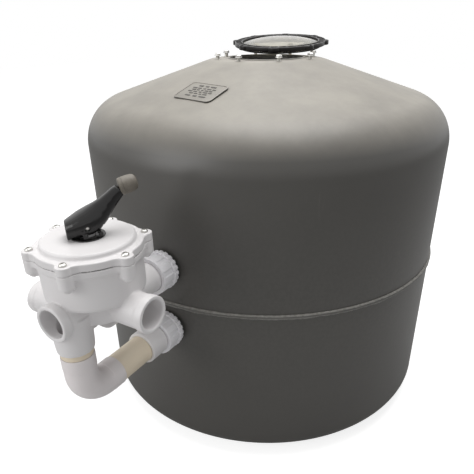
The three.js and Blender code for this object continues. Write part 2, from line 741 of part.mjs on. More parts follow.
// The lever is the common part of its side view and its plan, with a slot for the shaft.
function lever() {
  const base = THRUST_T + 2 * GAP;
  const endX = ARM_HALF_HEIGHT * Math.cos(CAP_LEAN);
  const endZ = ARM_HALF_HEIGHT * Math.sin(CAP_LEAN);
  const curveX = LEVER_TOE + LEVER_TOE_CURVE;
  const side = new THREE.Shape();
  side.moveTo(-LEVER_HEEL, base);
  side.lineTo(LEVER_TOE, base);
  side.quadraticCurveTo(curveX, base + 2, curveX, base + 10);
  side.quadraticCurveTo(curveX + 1, base + LEVER_RISE / 2, LEVER_REACH + endX, base + LEVER_RISE - endZ);
  side.lineTo(LEVER_REACH - endX, base + LEVER_RISE + endZ);
  side.quadraticCurveTo(LEVER_BROW_X, base + LEVER_RISE - ARM_HALF_HEIGHT, LEVER_FLANK - LEVER_HEEL,
      base + LEVER_BACK_H);
  side.lineTo(-LEVER_HEEL, base + LEVER_BACK_H - LEVER_HEEL_CHAMFER);
  side.closePath();
  const full = 3 * HUB_HALF_WIDTH;
  const profile = new THREE.ExtrudeGeometry(side, { depth: full, bevelEnabled: false, curveSegments: 6 });
  profile.translate(0, 0, -full / 2).rotateX(Math.PI / 2);

  const plan = new THREE.Shape();
  plan.moveTo(-LEVER_HEEL - 1, -HUB_HALF_WIDTH * 0.8);
  plan.lineTo(-LEVER_FLANK, -HUB_HALF_WIDTH);
  plan.lineTo(LEVER_FLANK, -HUB_HALF_WIDTH);
  plan.quadraticCurveTo(LEVER_WAIST_X, -HUB_HALF_WIDTH * 0.7, LEVER_REACH, -ARM_HALF_WIDTH);
  plan.lineTo(LEVER_REACH + 12, -ARM_HALF_WIDTH);
  plan.lineTo(LEVER_REACH + 12, ARM_HALF_WIDTH);
  plan.lineTo(LEVER_REACH, ARM_HALF_WIDTH);
  plan.quadraticCurveTo(LEVER_WAIST_X, HUB_HALF_WIDTH * 0.7, LEVER_FLANK, HUB_HALF_WIDTH);
  plan.lineTo(-LEVER_FLANK, HUB_HALF_WIDTH);
  plan.lineTo(-LEVER_HEEL - 1, HUB_HALF_WIDTH * 0.8);
  plan.closePath();
  const outline = new THREE.ExtrudeGeometry(plan,
      { depth: full + LEVER_RISE, bevelEnabled: false, curveSegments: 6 });

  const slotRear = -(SHAFT_R + 2);
  const slotWidth = 2 * (SHAFT_R + RUNNING);
  const slotTop = PIN_RISE + 3 * SHAFT_R / 2;
  const slot = block((LEVER_SLOT_FRONT + slotRear) / 2, 0, slotTop / 2 - 1, LEVER_SLOT_FRONT - slotRear,
      slotWidth, slotTop + 2);
  const pinHole = towardsMinusY(rod(PIN_R + GAP, -full, full, SMALL_SEGMENTS)).translate(0, 0, PIN_RISE);
  return cut(common(profile, outline), slot, pinHole).translate(0, 0, PLATEAU_Z);
}

// The knob sits over the end of the arm, along the arm's slope.
function leverCap() {
  return lathe(
    [
      [0, 0],
      [CAP_KNOB_R - 1.5, 0],
      [CAP_KNOB_R, 2],
      [CAP_KNOB_R, CAP_KNOB_L - 6],
      [CAP_KNOB_R - 2.5, CAP_KNOB_L - 2],
      [CAP_KNOB_R / 2, CAP_KNOB_L],
      [0, CAP_KNOB_L],
    ],
    PIPE_SEGMENTS,
  );
}

function buildValve() {
  add(valve, "valve_body", valveBody(), MATERIALS.valve);
  const gasketOuter = LUG_CIRCLE_R - SCREW_R - 2 * GAP;
  const gasket = ring(BODY_R - BODY_WALL, gasketOuter, RIM_Z + GAP, RIM_Z + GAP + COVER_GASKET_T,
      BODY_SEGMENTS);
  add(valve, "cover_gasket", gasket, MATERIALS.rubber);
  add(valve, "valve_cover", valveCover(), MATERIALS.valve);
  lugPlaces().forEach((place, i) => {
    const screw = add(valve, "cover_screw_" + (i + 1), coverScrew(), MATERIALS.steel);
    screw.position.copy(place);
  });
  add(valve, "spider_gasket", spiderGasket(), MATERIALS.rubber);
  add(valve, "rotor", rotor(), MATERIALS.valve);
  add(valve, "rotor_spring", rotorSpring(), MATERIALS.steel);
  const thrust = ring(SHAFT_R + RUNNING, THRUST_R, PLATEAU_Z + GAP, PLATEAU_Z + GAP + THRUST_T,
      BODY_SEGMENTS);
  add(valve, "thrust_washer", thrust, MATERIALS.lever);
  add(valve, "lever", lever(), MATERIALS.lever).rotation.z = LEVER_AZIMUTH;
  const pinLength = HUB_HALF_WIDTH - 1;
  const pin = add(valve, "lever_pin", towardsMinusY(rod(PIN_R, -pinLength, pinLength, SMALL_SEGMENTS)),
      MATERIALS.steel);
  pin.position.z = PIN_Z;
  pin.rotation.z = LEVER_AZIMUTH;
  const knob = add(valve, "lever_cap", leverCap(), MATERIALS.knob);
  const armEndZ = PLATEAU_Z + THRUST_T + 2 * GAP + LEVER_RISE;
  const capStart = LEVER_REACH + GAP * Math.sin(CAP_LEAN);
  knob.position.copy(LEVER_DIRECTION).multiplyScalar(capStart).setZ(armEndZ + GAP * Math.cos(CAP_LEAN));
  knob.rotation.set(0, CAP_LEAN, LEVER_AZIMUTH, "ZYX");
}

// ---- unions and outside pipework ----------------------------------------------------

// A ribbed disc: raised axial ribs round a cylinder.
function ribbedDisc(radius, low, high) {
  const shape = new THREE.Shape();
  const corners = 4 * NUT_LOBES;
  for (let i = 0; i < corners; i++) {
    const r = i % 4 < 2 ? radius : radius - NUT_GROOVE;
    const angle = ((i + 0.5) * 2 * Math.PI) / corners;
    if (i) shape.lineTo(r * Math.cos(angle), r * Math.sin(angle));
    else shape.moveTo(r * Math.cos(angle), r * Math.sin(angle));
  }
  shape.closePath();
  return new THREE.ExtrudeGeometry(shape, { depth: high - low, bevelEnabled: false }).translate(0, 0, low);
}

function unionNut() {
  const back = NUT_BACK + GAP;
  const barrel = ribbedDisc(NUT_R, back, NUT_FRONT);
  const rim = rod(NUT_R + NUT_RIM_RISE, back, back + NUT_RIM_T, BODY_SEGMENTS);
  const thread = rod(BULKHEAD_R + 2 * GAP, back - 1, NUT_FRONT - NUT_LIP_T, PIPE_SEGMENTS);
  const mouth = rod(TAIL_R + 2 * GAP, back, NUT_FRONT + 1, PIPE_SEGMENTS);
  return towardsMinusY(cut(join(barrel, rim), thread, mouth));
}

// The fitting through the wall: a ribbed flange outside, a thread for the nut, and a long neck.
function bulkhead() {
  const flange = ribbedDisc(NUT_R, BULKHEAD_BACK, NUT_BACK);
  const thread = rod(BULKHEAD_R, NUT_BACK - 1, BULKHEAD_FACE, PIPE_SEGMENTS);
  const neck = rod(NECK_R, FITTING_END, NUT_BACK, PIPE_SEGMENTS);
  const bore = rod(BULKHEAD_BORE_R, FITTING_END - 1, BULKHEAD_FACE + 1, PIPE_SEGMENTS);
  return towardsMinusY(cut(join(flange, thread, neck), bore));
}

// A washer whose back is hollowed to the tank's curve.
function wallGasket(inner, outer, z, front, side) {
  const washer = towardsMinusY(ring(inner, outer, TANK_R - WALL, front, PIPE_SEGMENTS)).translate(0, 0, z);
  const tank = rod(TANK_R + GAP, z - 2 * outer, z + 2 * outer, TANK_SEGMENTS);
  const saddle = cut(washer, tank);
  return side > 0 ? saddle.rotateZ(Math.PI) : saddle;
}

function locknut(face) {
  const nut = ring(NECK_R + GAP, LOCKNUT_R, face - LOCKNUT_T, face, 8);
  return towardsMinusY(cut(nut, rod(NECK_R + GAP, face - 2 * LOCKNUT_T, face + 1, PIPE_SEGMENTS)));
}

function buildUnion(level, z) {
  const pieces = {
    bulkhead: [bulkhead(), MATERIALS.tank],
    union_o_ring: [towardsMinusY(unionRing()), MATERIALS.rubber],
    union_nut: [unionNut(), MATERIALS.valve],
    locknut: [locknut(LOCKNUT_FACE), MATERIALS.inner],
  };
  for (const [name, [geometry, material]] of Object.entries(pieces)) {
    add(filter, level + "_" + name, geometry, material).position.z = z;
  }
  const gasket = wallGasket(NECK_R + GAP, NUT_R - NUT_GROOVE - 1, z, TANK_R + WALL_GASKET_T, -1);
  add(filter, level + "_wall_gasket", gasket, MATERIALS.rubber);
}

const unionRing = () => ring(BULKHEAD_BORE_R, BULKHEAD_R, TAIL_FACE - GAP - O_RING_T, TAIL_FACE - GAP,
    PIPE_SEGMENTS);

// Lower tailpiece: a collar that takes the pipe, a neck through the nut, and the sealing flange.
function tailpiece() {
  const collarFront = NUT_FRONT + GAP + COLLAR_L;
  const inner = PIPE_R - PIPE_WALL;
  const stop = collarFront - SPIGOT_L;
  return towardsMinusY(
    lathe(
      [
        [inner, TAIL_FACE],
        [BULKHEAD_R, TAIL_FACE],
        [BULKHEAD_R, TAIL_FACE + TAIL_FLANGE_T],
        [TAIL_R, TAIL_FACE + TAIL_FLANGE_T],
        [TAIL_R, NUT_FRONT + GAP],
        [COLLAR_R, NUT_FRONT + GAP],
        [COLLAR_R, collarFront],
        [PIPE_R + GAP, collarFront],
        [PIPE_R + GAP, stop],
        [inner, stop],
      ],
      PIPE_SEGMENTS,
    ),
  );
}

// The elbow turns the outlet towards the tank; its spigots plug into the two pipes.
function elbow() {
  const legY = VALVE_Y - OUTLET_OFFSET;
  const turnY = legY + ELBOW_BEND_R;
  const footY = turnY + ELBOW_FOOT;
  const turnZ = LOWER_UNION_Z + ELBOW_BEND_R;
  const spigotR = PIPE_R - PIPE_WALL - GAP;
  const inner = spigotR - SPIGOT_WALL;
  const shell = bentPipe(ELBOW_R, inner, {
    start: new THREE.Vector3(0, legY, ELBOW_TOP_Z - GAP),
    centreY: turnY,
    centreZ: turnZ,
    bendR: ELBOW_BEND_R,
    from: Math.PI,
    to: 1.5 * Math.PI,
    end: new THREE.Vector3(0, footY, LOWER_UNION_Z),
  });
  const topSpigot = ring(inner, spigotR, ELBOW_TOP_Z - SPIGOT_L / 2, ELBOW_TOP_Z + SPIGOT_L, PIPE_SEGMENTS);
  topSpigot.translate(0, legY, 0);
  const footSpigot = towardsMinusY(ring(inner, spigotR, -footY - SPIGOT_L, -footY + SPIGOT_L / 2,
      PIPE_SEGMENTS));
  return join(shell, topSpigot, footSpigot.translate(0, 0, LOWER_UNION_Z));
}

function buildPipework() {
  buildUnion("upper", UPPER_UNION_Z);
  buildUnion("lower", LOWER_UNION_Z);
  add(filter, "lower_tailpiece", tailpiece(), MATERIALS.valve).position.z = LOWER_UNION_Z;
  const stub = ring(PIPE_R - PIPE_WALL, PIPE_R, ELBOW_TOP_Z, OUTLET_MOUTH_Z + SPIGOT_L - GAP, PIPE_SEGMENTS);
  add(valve, "pipe_stub", stub, MATERIALS.pipe).position.y = -OUTLET_OFFSET;
  add(filter, "elbow", elbow(), MATERIALS.elbow);
  const footEnd = -(VALVE_Y - OUTLET_OFFSET + ELBOW_BEND_R + ELBOW_FOOT) - GAP;
  const pipeEnd = NUT_FRONT + COLLAR_L - SPIGOT_L + 2 * GAP;
  const pipe = towardsMinusY(ring(PIPE_R - PIPE_WALL, PIPE_R, pipeEnd, footEnd, PIPE_SEGMENTS));
  add(filter, "lower_pipe", pipe, MATERIALS.pipe).position.z = LOWER_UNION_Z;
}

// ---- inside the tank ----------------------------------------------------------------

function riser() {
  const start = -FITTING_END + GAP;
  const turnY = start + RISER_INSET - BEND_R;
  return bentPipe(RISER_R, RISER_R - RISER_WALL, {
    start: new THREE.Vector3(0, start, UPPER_UNION_Z),
    centreY: turnY,
    centreZ: UPPER_UNION_Z + BEND_R,
    bendR: BEND_R,
    from: -Math.PI / 2,
    to: 0,
    end: new THREE.Vector3(0, turnY + BEND_R, RISER_TOP_Z),
  });
}

function diffuser() {
  const low = RISER_TOP_Z + GAP;
  const collar = RISER_R + RISER_WALL;
  return lathe(
    [
      [RISER_R - RISER_WALL, low],
      [collar, low],
      [collar, low + DIFFUSER_H / 3],
      [DIFFUSER_R, low + DIFFUSER_H / 3],
      [DIFFUSER_R, low + DIFFUSER_H - 4],
      [DIFFUSER_R - 4, low + DIFFUSER_H],
      [0, low + DIFFUSER_H],
      [0, low + DIFFUSER_H - 4],
      [DIFFUSER_R - 4, low + DIFFUSER_H - 4],
      [DIFFUSER_R - 4, low + DIFFUSER_H / 3 + 4],
      [RISER_R - RISER_WALL, low + DIFFUSER_H / 3 + 4],
    ],
    PIPE_SEGMENTS,
  );
}

function underdrainPipe() {
  return bentPipe(RISER_R, RISER_R - RISER_WALL, {
    start: new THREE.Vector3(0, -FITTING_END + GAP, LOWER_UNION_Z),
    centreY: -BEND_R,
    centreZ: LOWER_UNION_Z - BEND_R,
    bendR: BEND_R,
    from: Math.PI / 2,
    to: 0,
    end: new THREE.Vector3(0, 0, HUB_Z + HUB_H + GAP),
  });
}

const lateralZ = HUB_Z + HUB_H / 2;

function lateralHub() {
  const hub = rod(HUB_R, HUB_Z, HUB_Z + HUB_H, BODY_SEGMENTS);
  const well = rod(RISER_R - RISER_WALL, HUB_Z + 10, HUB_Z + HUB_H + 1, PIPE_SEGMENTS);
  const holes = Array.from({ length: LATERALS }, (_, i) => {
    const hole = towardsPlusX(rod(LATERAL_SPIGOT_R + GAP, 0, HUB_R + 1, SMALL_SEGMENTS));
    return hole.translate(0, 0, lateralZ).rotateZ(((i + 0.5) * 2 * Math.PI) / LATERALS);
  });
  return cut(hub, well, ...holes);
}

// A lateral is a capped tube with a spigot that plugs into the hub.
function lateral() {
  const bore = LATERAL_SPIGOT_R - LATERAL_WALL;
  const start = LATERAL_SPIGOT_START;
  const shoulder = HUB_R + GAP;
  const end = shoulder + LATERAL_L;
  return towardsPlusX(
    lathe(
      [
        [bore, start],
        [LATERAL_SPIGOT_R, start],
        [LATERAL_SPIGOT_R, shoulder],
        [LATERAL_R, shoulder],
        [LATERAL_R, end],
        [0, end],
        [0, end - LATERAL_WALL],
        [bore, end - LATERAL_WALL],
      ],
      SMALL_SEGMENTS,
    ),
  );
}

function drainPlug() {
  const seat = TANK_R + WALL_GASKET_T + GAP;
  const plug = towardsMinusY(rod(DRAIN_R, TANK_R - 2 * WALL, seat + 1, PIPE_SEGMENTS));
  const head = towardsMinusY(rod(DRAIN_HEAD_R, seat, seat + 12, 6));
  return join(plug, head).rotateZ(Math.PI);
}

function buildInside() {
  add(filter, "inlet_riser", riser(), MATERIALS.inner);
  add(filter, "inlet_diffuser", diffuser(), MATERIALS.inner).position.y = -FITTING_END + GAP + RISER_INSET;
  add(filter, "underdrain_pipe", underdrainPipe(), MATERIALS.inner);
  add(filter, "lateral_hub", lateralHub(), MATERIALS.inner);
  for (let i = 0; i < LATERALS; i++) {
    const mesh = add(filter, "lateral_" + (i + 1), lateral(), MATERIALS.inner);
    mesh.position.z = lateralZ;
    mesh.rotation.z = ((i + 0.5) * 2 * Math.PI) / LATERALS;
  }
  add(filter, "drain_plug", drainPlug(), MATERIALS.tank).position.z = DRAIN_Z;
  const gasket = wallGasket(DRAIN_R + GAP, DRAIN_HEAD_R - 3, DRAIN_Z, TANK_R + WALL_GASKET_T, 1);
  add(filter, "drain_gasket", gasket, MATERIALS.rubber);
}

buildTank();
buildLid();
buildValve();
buildPipework();
buildInside();

export default filter;
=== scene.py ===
"""Looks of the sand filter tank: fine moulded shells, valve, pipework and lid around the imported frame."""
import math

import bmesh
import bpy
from mathutils import Matrix, Vector


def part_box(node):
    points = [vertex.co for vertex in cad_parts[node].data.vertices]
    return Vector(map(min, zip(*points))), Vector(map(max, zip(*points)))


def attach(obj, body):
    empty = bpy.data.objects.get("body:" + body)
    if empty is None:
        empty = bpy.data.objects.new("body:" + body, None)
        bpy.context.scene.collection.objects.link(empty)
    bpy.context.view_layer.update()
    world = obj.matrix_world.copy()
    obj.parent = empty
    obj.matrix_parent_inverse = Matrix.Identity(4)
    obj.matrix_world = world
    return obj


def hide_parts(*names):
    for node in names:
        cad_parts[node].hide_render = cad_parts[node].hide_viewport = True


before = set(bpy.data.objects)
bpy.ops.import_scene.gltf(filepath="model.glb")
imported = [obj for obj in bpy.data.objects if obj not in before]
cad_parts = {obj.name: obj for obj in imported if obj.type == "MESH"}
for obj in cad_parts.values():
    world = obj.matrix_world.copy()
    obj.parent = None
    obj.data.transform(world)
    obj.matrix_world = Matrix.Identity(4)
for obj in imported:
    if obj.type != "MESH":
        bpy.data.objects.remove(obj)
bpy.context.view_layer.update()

# ---- sizes, in millimetres, taken from the frame where a node gives them ------------------------

MM = 0.001
TURN = 2 * math.pi


def low(node, axis):
    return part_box(node)[0]["xyz".index(axis)] / MM


def high(node, axis):
    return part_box(node)[1]["xyz".index(axis)] / MM


def middle(node):
    lo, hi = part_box(node)
    return (lo + hi) / 2 / MM


TANK_R = high("tank_upper_shell", "x")
WALL = 7.0
SEAM_Z = low("tank_upper_shell", "z")
LAND_Z = 736.0  # flat land round the manhole
LAND_R = 115.0
CONE = math.radians(18.2)
SHOULDER_R = 89.0
CORNER_R = 82.0
CORNER_H = 50.0
HOLE_R = 76.5
LIP_W = 3.5
LIP_H = 2.5
BAND_OUT_R = high("seam_band", "x")

VALVE_Y = middle("rotor").y
PLATEAU_Z = high("valve_cover", "z")
FLANGE_TOP_Z = PLATEAU_Z - 7.7
COVER_Z = low("valve_cover", "z")
RIM_Z = high("valve_body", "z")
BODY_Z = 453.0
PLATEAU_R = 67.5
BODY_R = 74.5
FLANGE_R = 77.5
LUG_CIRCLE_R = 79.8
LUG_R = 11.0
LUGS = 6
LUG_PHASE = math.radians(-7.75)
LUG_HALF_ANGLE = math.radians(16)  # half of the arc that a lug swells over
FRONT_Z = 439.0
UPPER_Z = middle("upper_union_nut").z
REAR_Z = UPPER_Z - 17.0  # the left port sits below the tank port
LOWER_Z = middle("lower_union_nut").z
PORT_R = 26.6
PORT_RIM_R = 28.1
PORT_BORE_R = 22.0
FRONT_REACH = 89.5
SIDE_REACH = high("valve_body", "x")
REAR_REACH = -low("valve_body", "x")
OUTLET_OFFSET = 56.0
OUTLET_Z = low("valve_body", "z")
STUB_SHOWN = 9.0  # bare stub between the outlet and the elbow
NUT_BACK = -high("upper_union_nut", "y")
NUT_FRONT = -low("upper_union_nut", "y")
NUT_R = 35.0
FITTING_BACK = 384.5  # back of the wall fitting's flange from the tank's axis
PIPE_R = high("lower_pipe", "x")
PIPE_WALL = 3.7
ELBOW_R = high("elbow", "x")
ELBOW_BEND_R = 42.0
ELBOW_LEG = 24.0  # straight run after the bend
SOCKET_DEPTH = 16.8
LEVER_TURN = math.radians(52.5)
PIN_RISE = 17.0  # lever pin above the cover
FOOT_RISE = 2.6  # lever foot above the cover
CAP_START_RISE = 64.4  # foot of the end cap above the cover
CAP_LEAN = math.radians(76)
GAP = 0.3


# ---- mesh helpers -------------------------------------------------------------------------------


def new_object(name, mesh):
    obj = bpy.data.objects.new(name, mesh)
    bpy.context.scene.collection.objects.link(obj)
    return obj


def from_lists(name, verts, faces):
    mesh = bpy.data.meshes.new(name)
    mesh.from_pydata([tuple(c * MM for c in v) for v in verts], [], faces)
    mesh.validate()
    return new_object(name, mesh)


def recalculated(obj):
    work = bmesh.new()
    work.from_mesh(obj.data)
    bmesh.ops.remove_doubles(work, verts=work.verts, dist=1e-6)
    bmesh.ops.recalc_face_normals(work, faces=work.faces)
    work.to_mesh(obj.data)
    work.free()
    return obj


def revolve(name, profile, segments=96, radius_at=None, height_at=None):
    """A closed solid turned about +Z from [radius, height] points. radius_at and height_at may
    vary a point's place round the turn."""
    verts, rings = [], []
    for i, (r, z) in enumerate(profile):
        if r < 1e-6:
            rings.append([len(verts)])
            verts.append((0, 0, z))
            continue
        ring = []
        for s in range(segments):
            a = TURN * s / segments
            rr = radius_at(i, r, a) if radius_at else r
            zz = height_at(i, z, a) if height_at else z
            ring.append(len(verts))
            verts.append((rr * math.cos(a), rr * math.sin(a), zz))
        rings.append(ring)
    faces = []
    closed = len(rings[0]) > 1
    count = len(rings) if closed else len(rings) - 1
    for i in range(count):
        one, two = rings[i], rings[(i + 1) % len(rings)]
        for s in range(segments):
            t = (s + 1) % segments
            if len(one) == 1:
                faces.append((one[0], two[t], two[s]))
            elif len(two) == 1:
                faces.append((one[s], one[t], two[0]))
            else:
                faces.append((one[s], one[t], two[t], two[s]))
    return recalculated(from_lists(name, verts, faces))


def bridge(one, two, count):
    """Quads between two rings of count points whose first points are numbered one and two."""
    return [(one + k, one + (k + 1) % count, two + (k + 1) % count, two + k) for k in range(count)]


def lofted(name, rings):
    """A skin through rings of equally many points, closed at both ends."""
    count = len(rings[0])
    verts = [point for ring in rings for point in ring]
    faces = []
    for row in range(len(rings) - 1):
        faces += bridge(row * count, (row + 1) * count, count)
    faces.append(tuple(reversed(range(count))))
    faces.append(tuple(range(len(verts) - count, len(verts))))
    return from_lists(name, verts, faces)


def arc(centre_r, centre_z, radius_r, radius_z, start, end, steps):
    angles = [start + (end - start) * i / steps for i in range(steps + 1)]
    return [(centre_r + radius_r * math.cos(a), centre_z + radius_z * math.sin(a)) for a in angles]


def rounded(profile, radius, steps=4, closed=True):
    """The profile with each corner taken off by an arc-like curve."""
    out = []
    count = len(profile)
    for i, corner in enumerate(profile):
        c = Vector(corner)
        before = Vector(profile[i - 1])
        after = Vector(profile[(i + 1) % count])
        ends = not closed and i in (0, count - 1)
        if ends or c.x < 1e-6:
            out.append(tuple(c))
            continue
        into, away = before - c, after - c
        if into.length < 1e-6 or away.length < 1e-6 or into.angle(away) > math.radians(165):
            out.append(tuple(c))
            continue
        reach = min(radius, 0.45 * into.length, 0.45 * away.length)
        first, last = c + into.normalized() * reach, c + away.normalized() * reach
        for k in range(steps + 1):
            t = k / steps
            out.append(tuple(first * (1 - t) ** 2 + c * 2 * t * (1 - t) + last * t**2))
    return out


def moved(obj, matrix):
    obj.data.transform(matrix)
    return obj


def at(x, y, z):
    return Matrix.Translation((x * MM, y * MM, z * MM))


def turned(angle, axis):
    return Matrix.Rotation(angle, 4, axis)


ALONG_MINUS_Y = turned(math.pi / 2, "X")
ALONG_PLUS_Y = turned(-math.pi / 2, "X")
ALONG_PLUS_X = turned(math.pi / 2, "Y")
ALONG_MINUS_X = turned(-math.pi / 2, "Y")


def rod(radius, start, end, segments=64, name="rod"):
    return revolve(name, [(0, start), (radius, start), (radius, end), (0, end)], segments)


def tube(inner, outer, start, end, segments=96, name="tube", soften=0.8):
    profile = [(inner, start), (outer, start), (outer, end), (inner, end)]
    return revolve(name, rounded(profile, soften), segments)


def box_solid(sx, sy, sz, name="box"):
    mesh = bpy.data.meshes.new(name)
    work = bmesh.new()
    bmesh.ops.create_cube(work, size=1, matrix=Matrix.Diagonal((sx * MM, sy * MM, sz * MM, 1)))
    work.to_mesh(mesh)
    work.free()
    return new_object(name, mesh)


def baked(obj):
    """Applies every modifier into the mesh."""
    graph = bpy.context.evaluated_depsgraph_get()
    mesh = bpy.data.meshes.new_from_object(obj.evaluated_get(graph))
    obj.modifiers.clear()
    obj.data = mesh
    return obj


def combine(base, others, operation):
    for other in others:
        step = base.modifiers.new(operation.lower(), "BOOLEAN")
        step.operation = operation
        step.solver = "MANIFOLD"
        step.object = other
    baked(base)
    for other in others:
        bpy.data.objects.remove(other)
    return base


def joined(parts):
    first = parts[0]
    with bpy.context.temp_override(active_object=first, selected_editable_objects=parts, object=first):
        bpy.ops.object.join()
    return first


def moulded(obj, voxel, rounds):
    """Rebuilds the surface at an even grain and relaxes it, so every inside corner is a fillet."""
    remesh = obj.modifiers.new("remesh", "REMESH")
    remesh.mode = "VOXEL"
    remesh.voxel_size = voxel * MM
    relax = obj.modifiers.new("relax", "SMOOTH")
    relax.factor = 0.5
    relax.iterations = rounds
    return baked(obj)


def smooth(obj, sharp=None):
    for face in obj.data.polygons:
        face.use_smooth = True
    if sharp:
        obj.data.set_sharp_from_angle(angle=math.radians(sharp))


def finished(obj, name, material, body, nodes, sharp=35):
    obj.name = obj.data.name = name
    obj.data.materials.clear()
    obj.data.materials.append(material)
    smooth(obj, sharp)
    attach(obj, body)
    if nodes:
        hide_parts(*nodes)


# ---- shader groups ------------------------------------------------------------------------------


def group(name, inputs, outputs):
    tree = bpy.data.node_groups.new(name, "ShaderNodeTree")
    for label, kind, value in inputs:
        socket = tree.interface.new_socket(label, in_out="INPUT", socket_type=kind)
        socket.default_value = value
    for label, kind in outputs:
        tree.interface.new_socket(label, in_out="OUTPUT", socket_type=kind)
    return tree, tree.nodes.new("NodeGroupInput"), tree.nodes.new("NodeGroupOutput")


FLOAT = "NodeSocketFloat"


def math_node(tree, operation, first, second, clamp=False):
    node = tree.nodes.new("ShaderNodeMath")
    node.operation = operation
    node.use_clamp = clamp
    for slot, value in zip(node.inputs, (first, second)):
        if isinstance(value, (int, float)):
            slot.default_value = value
        else:
            tree.links.new(value, slot)
    return node.outputs[0]


def noise_node(tree, vector, scale, detail=3.0, roughness=0.5):
    node = tree.nodes.new("ShaderNodeTexNoise")
    node.inputs["Detail"].default_value = detail
    node.inputs["Roughness"].default_value = roughness
    if isinstance(scale, (int, float)):
        node.inputs["Scale"].default_value = scale
    else:
        tree.links.new(scale, node.inputs["Scale"])
    tree.links.new(vector, node.inputs["Vector"])
    return node.outputs["Fac"]


def range_node(tree, value, from_low, from_high, to_low=0.0, to_high=1.0):
    node = tree.nodes.new("ShaderNodeMapRange")
    numbers = {"From Min": from_low, "From Max": from_high, "To Min": to_low, "To Max": to_high}
    for label, number in numbers.items():
        node.inputs[label].default_value = number
    tree.links.new(value, node.inputs["Value"])
    return node.outputs["Result"]


def mix_colour(tree, factor, first, second):
    node = tree.nodes.new("ShaderNodeMix")
    node.data_type = "RGBA"
    for slot, value in zip((node.inputs["Factor"], node.inputs["A"], node.inputs["B"]),
            (factor, first, second)):
        if isinstance(value, (int, float)):
            slot.default_value = value
        elif isinstance(value, tuple):
            slot.default_value = (*value, 1)
        else:
            tree.links.new(value, slot)
    return node.outputs["Result"]


def object_place(tree):
    return tree.nodes.new("ShaderNodeTexCoord").outputs["Object"]


def stretched(tree, vector, scale):
    node = tree.nodes.new("ShaderNodeMapping")
    node.inputs["Scale"].default_value = scale
    tree.links.new(vector, node.inputs["Vector"])
    return node.outputs["Vector"]


def make_grain_group():
    """Fine moulded grain: a height, and a slow shade that drifts over the surface."""
    tree, inside, outside = group(
        "moulded_grain",
        [("Grain Size", FLOAT, 900.0), ("Ripple Size", FLOAT, 30.0), ("Ripple", FLOAT, 0.5)],
        [("Height", FLOAT), ("Shade", FLOAT)],
    )
    place = object_place(tree)
    fine = noise_node(tree, place, inside.outputs["Grain Size"], 2.0)
    slow = noise_node(tree, place, inside.outputs["Ripple Size"], 2.0)
    ripple = math_node(tree, "MULTIPLY", slow, inside.outputs["Ripple"])
    tree.links.new(math_node(tree, "ADD", fine, ripple), outside.inputs["Height"])
    tree.links.new(noise_node(tree, place, 3.5, 4.0, 0.6), outside.inputs["Shade"])
    return tree


def mask_group(name):
    return group(name, [("Amount", FLOAT, 0.5)], [("Mask", FLOAT)])


def with_amount(tree, mask, inside, outside):
    scaled = math_node(tree, "MULTIPLY", mask, inside.outputs["Amount"], clamp=True)
    tree.links.new(scaled, outside.inputs["Mask"])
    return tree


def make_scuff_group():
    """Pale rubbed marks and short scratches, as a mask."""
    tree, inside, outside = mask_group("scuffs")
    place = object_place(tree)
    patches = range_node(tree, noise_node(tree, place, 9.0, 4.0, 0.6), 0.56, 0.74)
    lines = range_node(tree, noise_node(tree, stretched(tree, place, (14, 60, 260)), 2.2, 2.0), 0.66, 0.74)
    streaks = range_node(tree, noise_node(tree, stretched(tree, place, (90, 22, 9)), 2.0, 3.0), 0.63, 0.76)
    marks = math_node(tree, "MAXIMUM", lines, streaks)
    both = math_node(tree, "MULTIPLY", marks, patches)
    return with_amount(tree, both, inside, outside)


def make_edge_group():
    """Worn or rounded edges, as a mask from how sharply the surface bends."""
    tree, inside, outside = mask_group("edge_wear")
    bend = tree.nodes.new("ShaderNodeNewGeometry").outputs["Pointiness"]
    place = object_place(tree)
    edge = range_node(tree, bend, 0.52, 0.62)
    broken = range_node(tree, noise_node(tree, place, 160.0, 3.0), 0.35, 0.65)
    worn = math_node(tree, "MULTIPLY", edge, broken)
    return with_amount(tree, worn, inside, outside)


def make_dust_and_sheen_group():
    """Pale film on faces turned up, broken up by noise: settled dust, and where the amount is set high, a
    painted sheen of the overhead light.
    """
    tree, inside, outside = mask_group("settled_dust_and_painted_sheen")
    split = tree.nodes.new("ShaderNodeSeparateXYZ")
    tree.links.new(tree.nodes.new("ShaderNodeNewGeometry").outputs["Normal"], split.inputs[0])
    place = object_place(tree)
    up = range_node(tree, split.outputs["Z"], 0.35, 1.0)
    patch = range_node(tree, noise_node(tree, place, 9.0, 5.0, 0.65), 0.35, 0.65, 0.7, 1.0)
    dust_and_sheen_film = math_node(tree, "MULTIPLY", up, patch)
    return with_amount(tree, dust_and_sheen_film, inside, outside)


GRAIN = make_grain_group()
SCUFFS = make_scuff_group()
EDGES = make_edge_group()
DUST_AND_SHEEN = make_dust_and_sheen_group()


def place_group(tree, which, **values):
    node = tree.nodes.new("ShaderNodeGroup")
    node.node_tree = which
    for label, value in values.items():
        node.inputs[label.replace("_", " ")].default_value = value
    return node


def new_material(name):
    material = bpy.data.materials.new(name)
    material.use_nodes = True
    return material, material.node_tree, material.node_tree.nodes["Principled BSDF"]


def add_relief(tree, shader, height, strength, distance):
    relief = tree.nodes.new("ShaderNodeBump")
    relief.inputs["Strength"].default_value = strength
    relief.inputs["Distance"].default_value = distance
    tree.links.new(height, relief.inputs["Height"])
    tree.links.new(relief.outputs["Normal"], shader.inputs["Normal"])


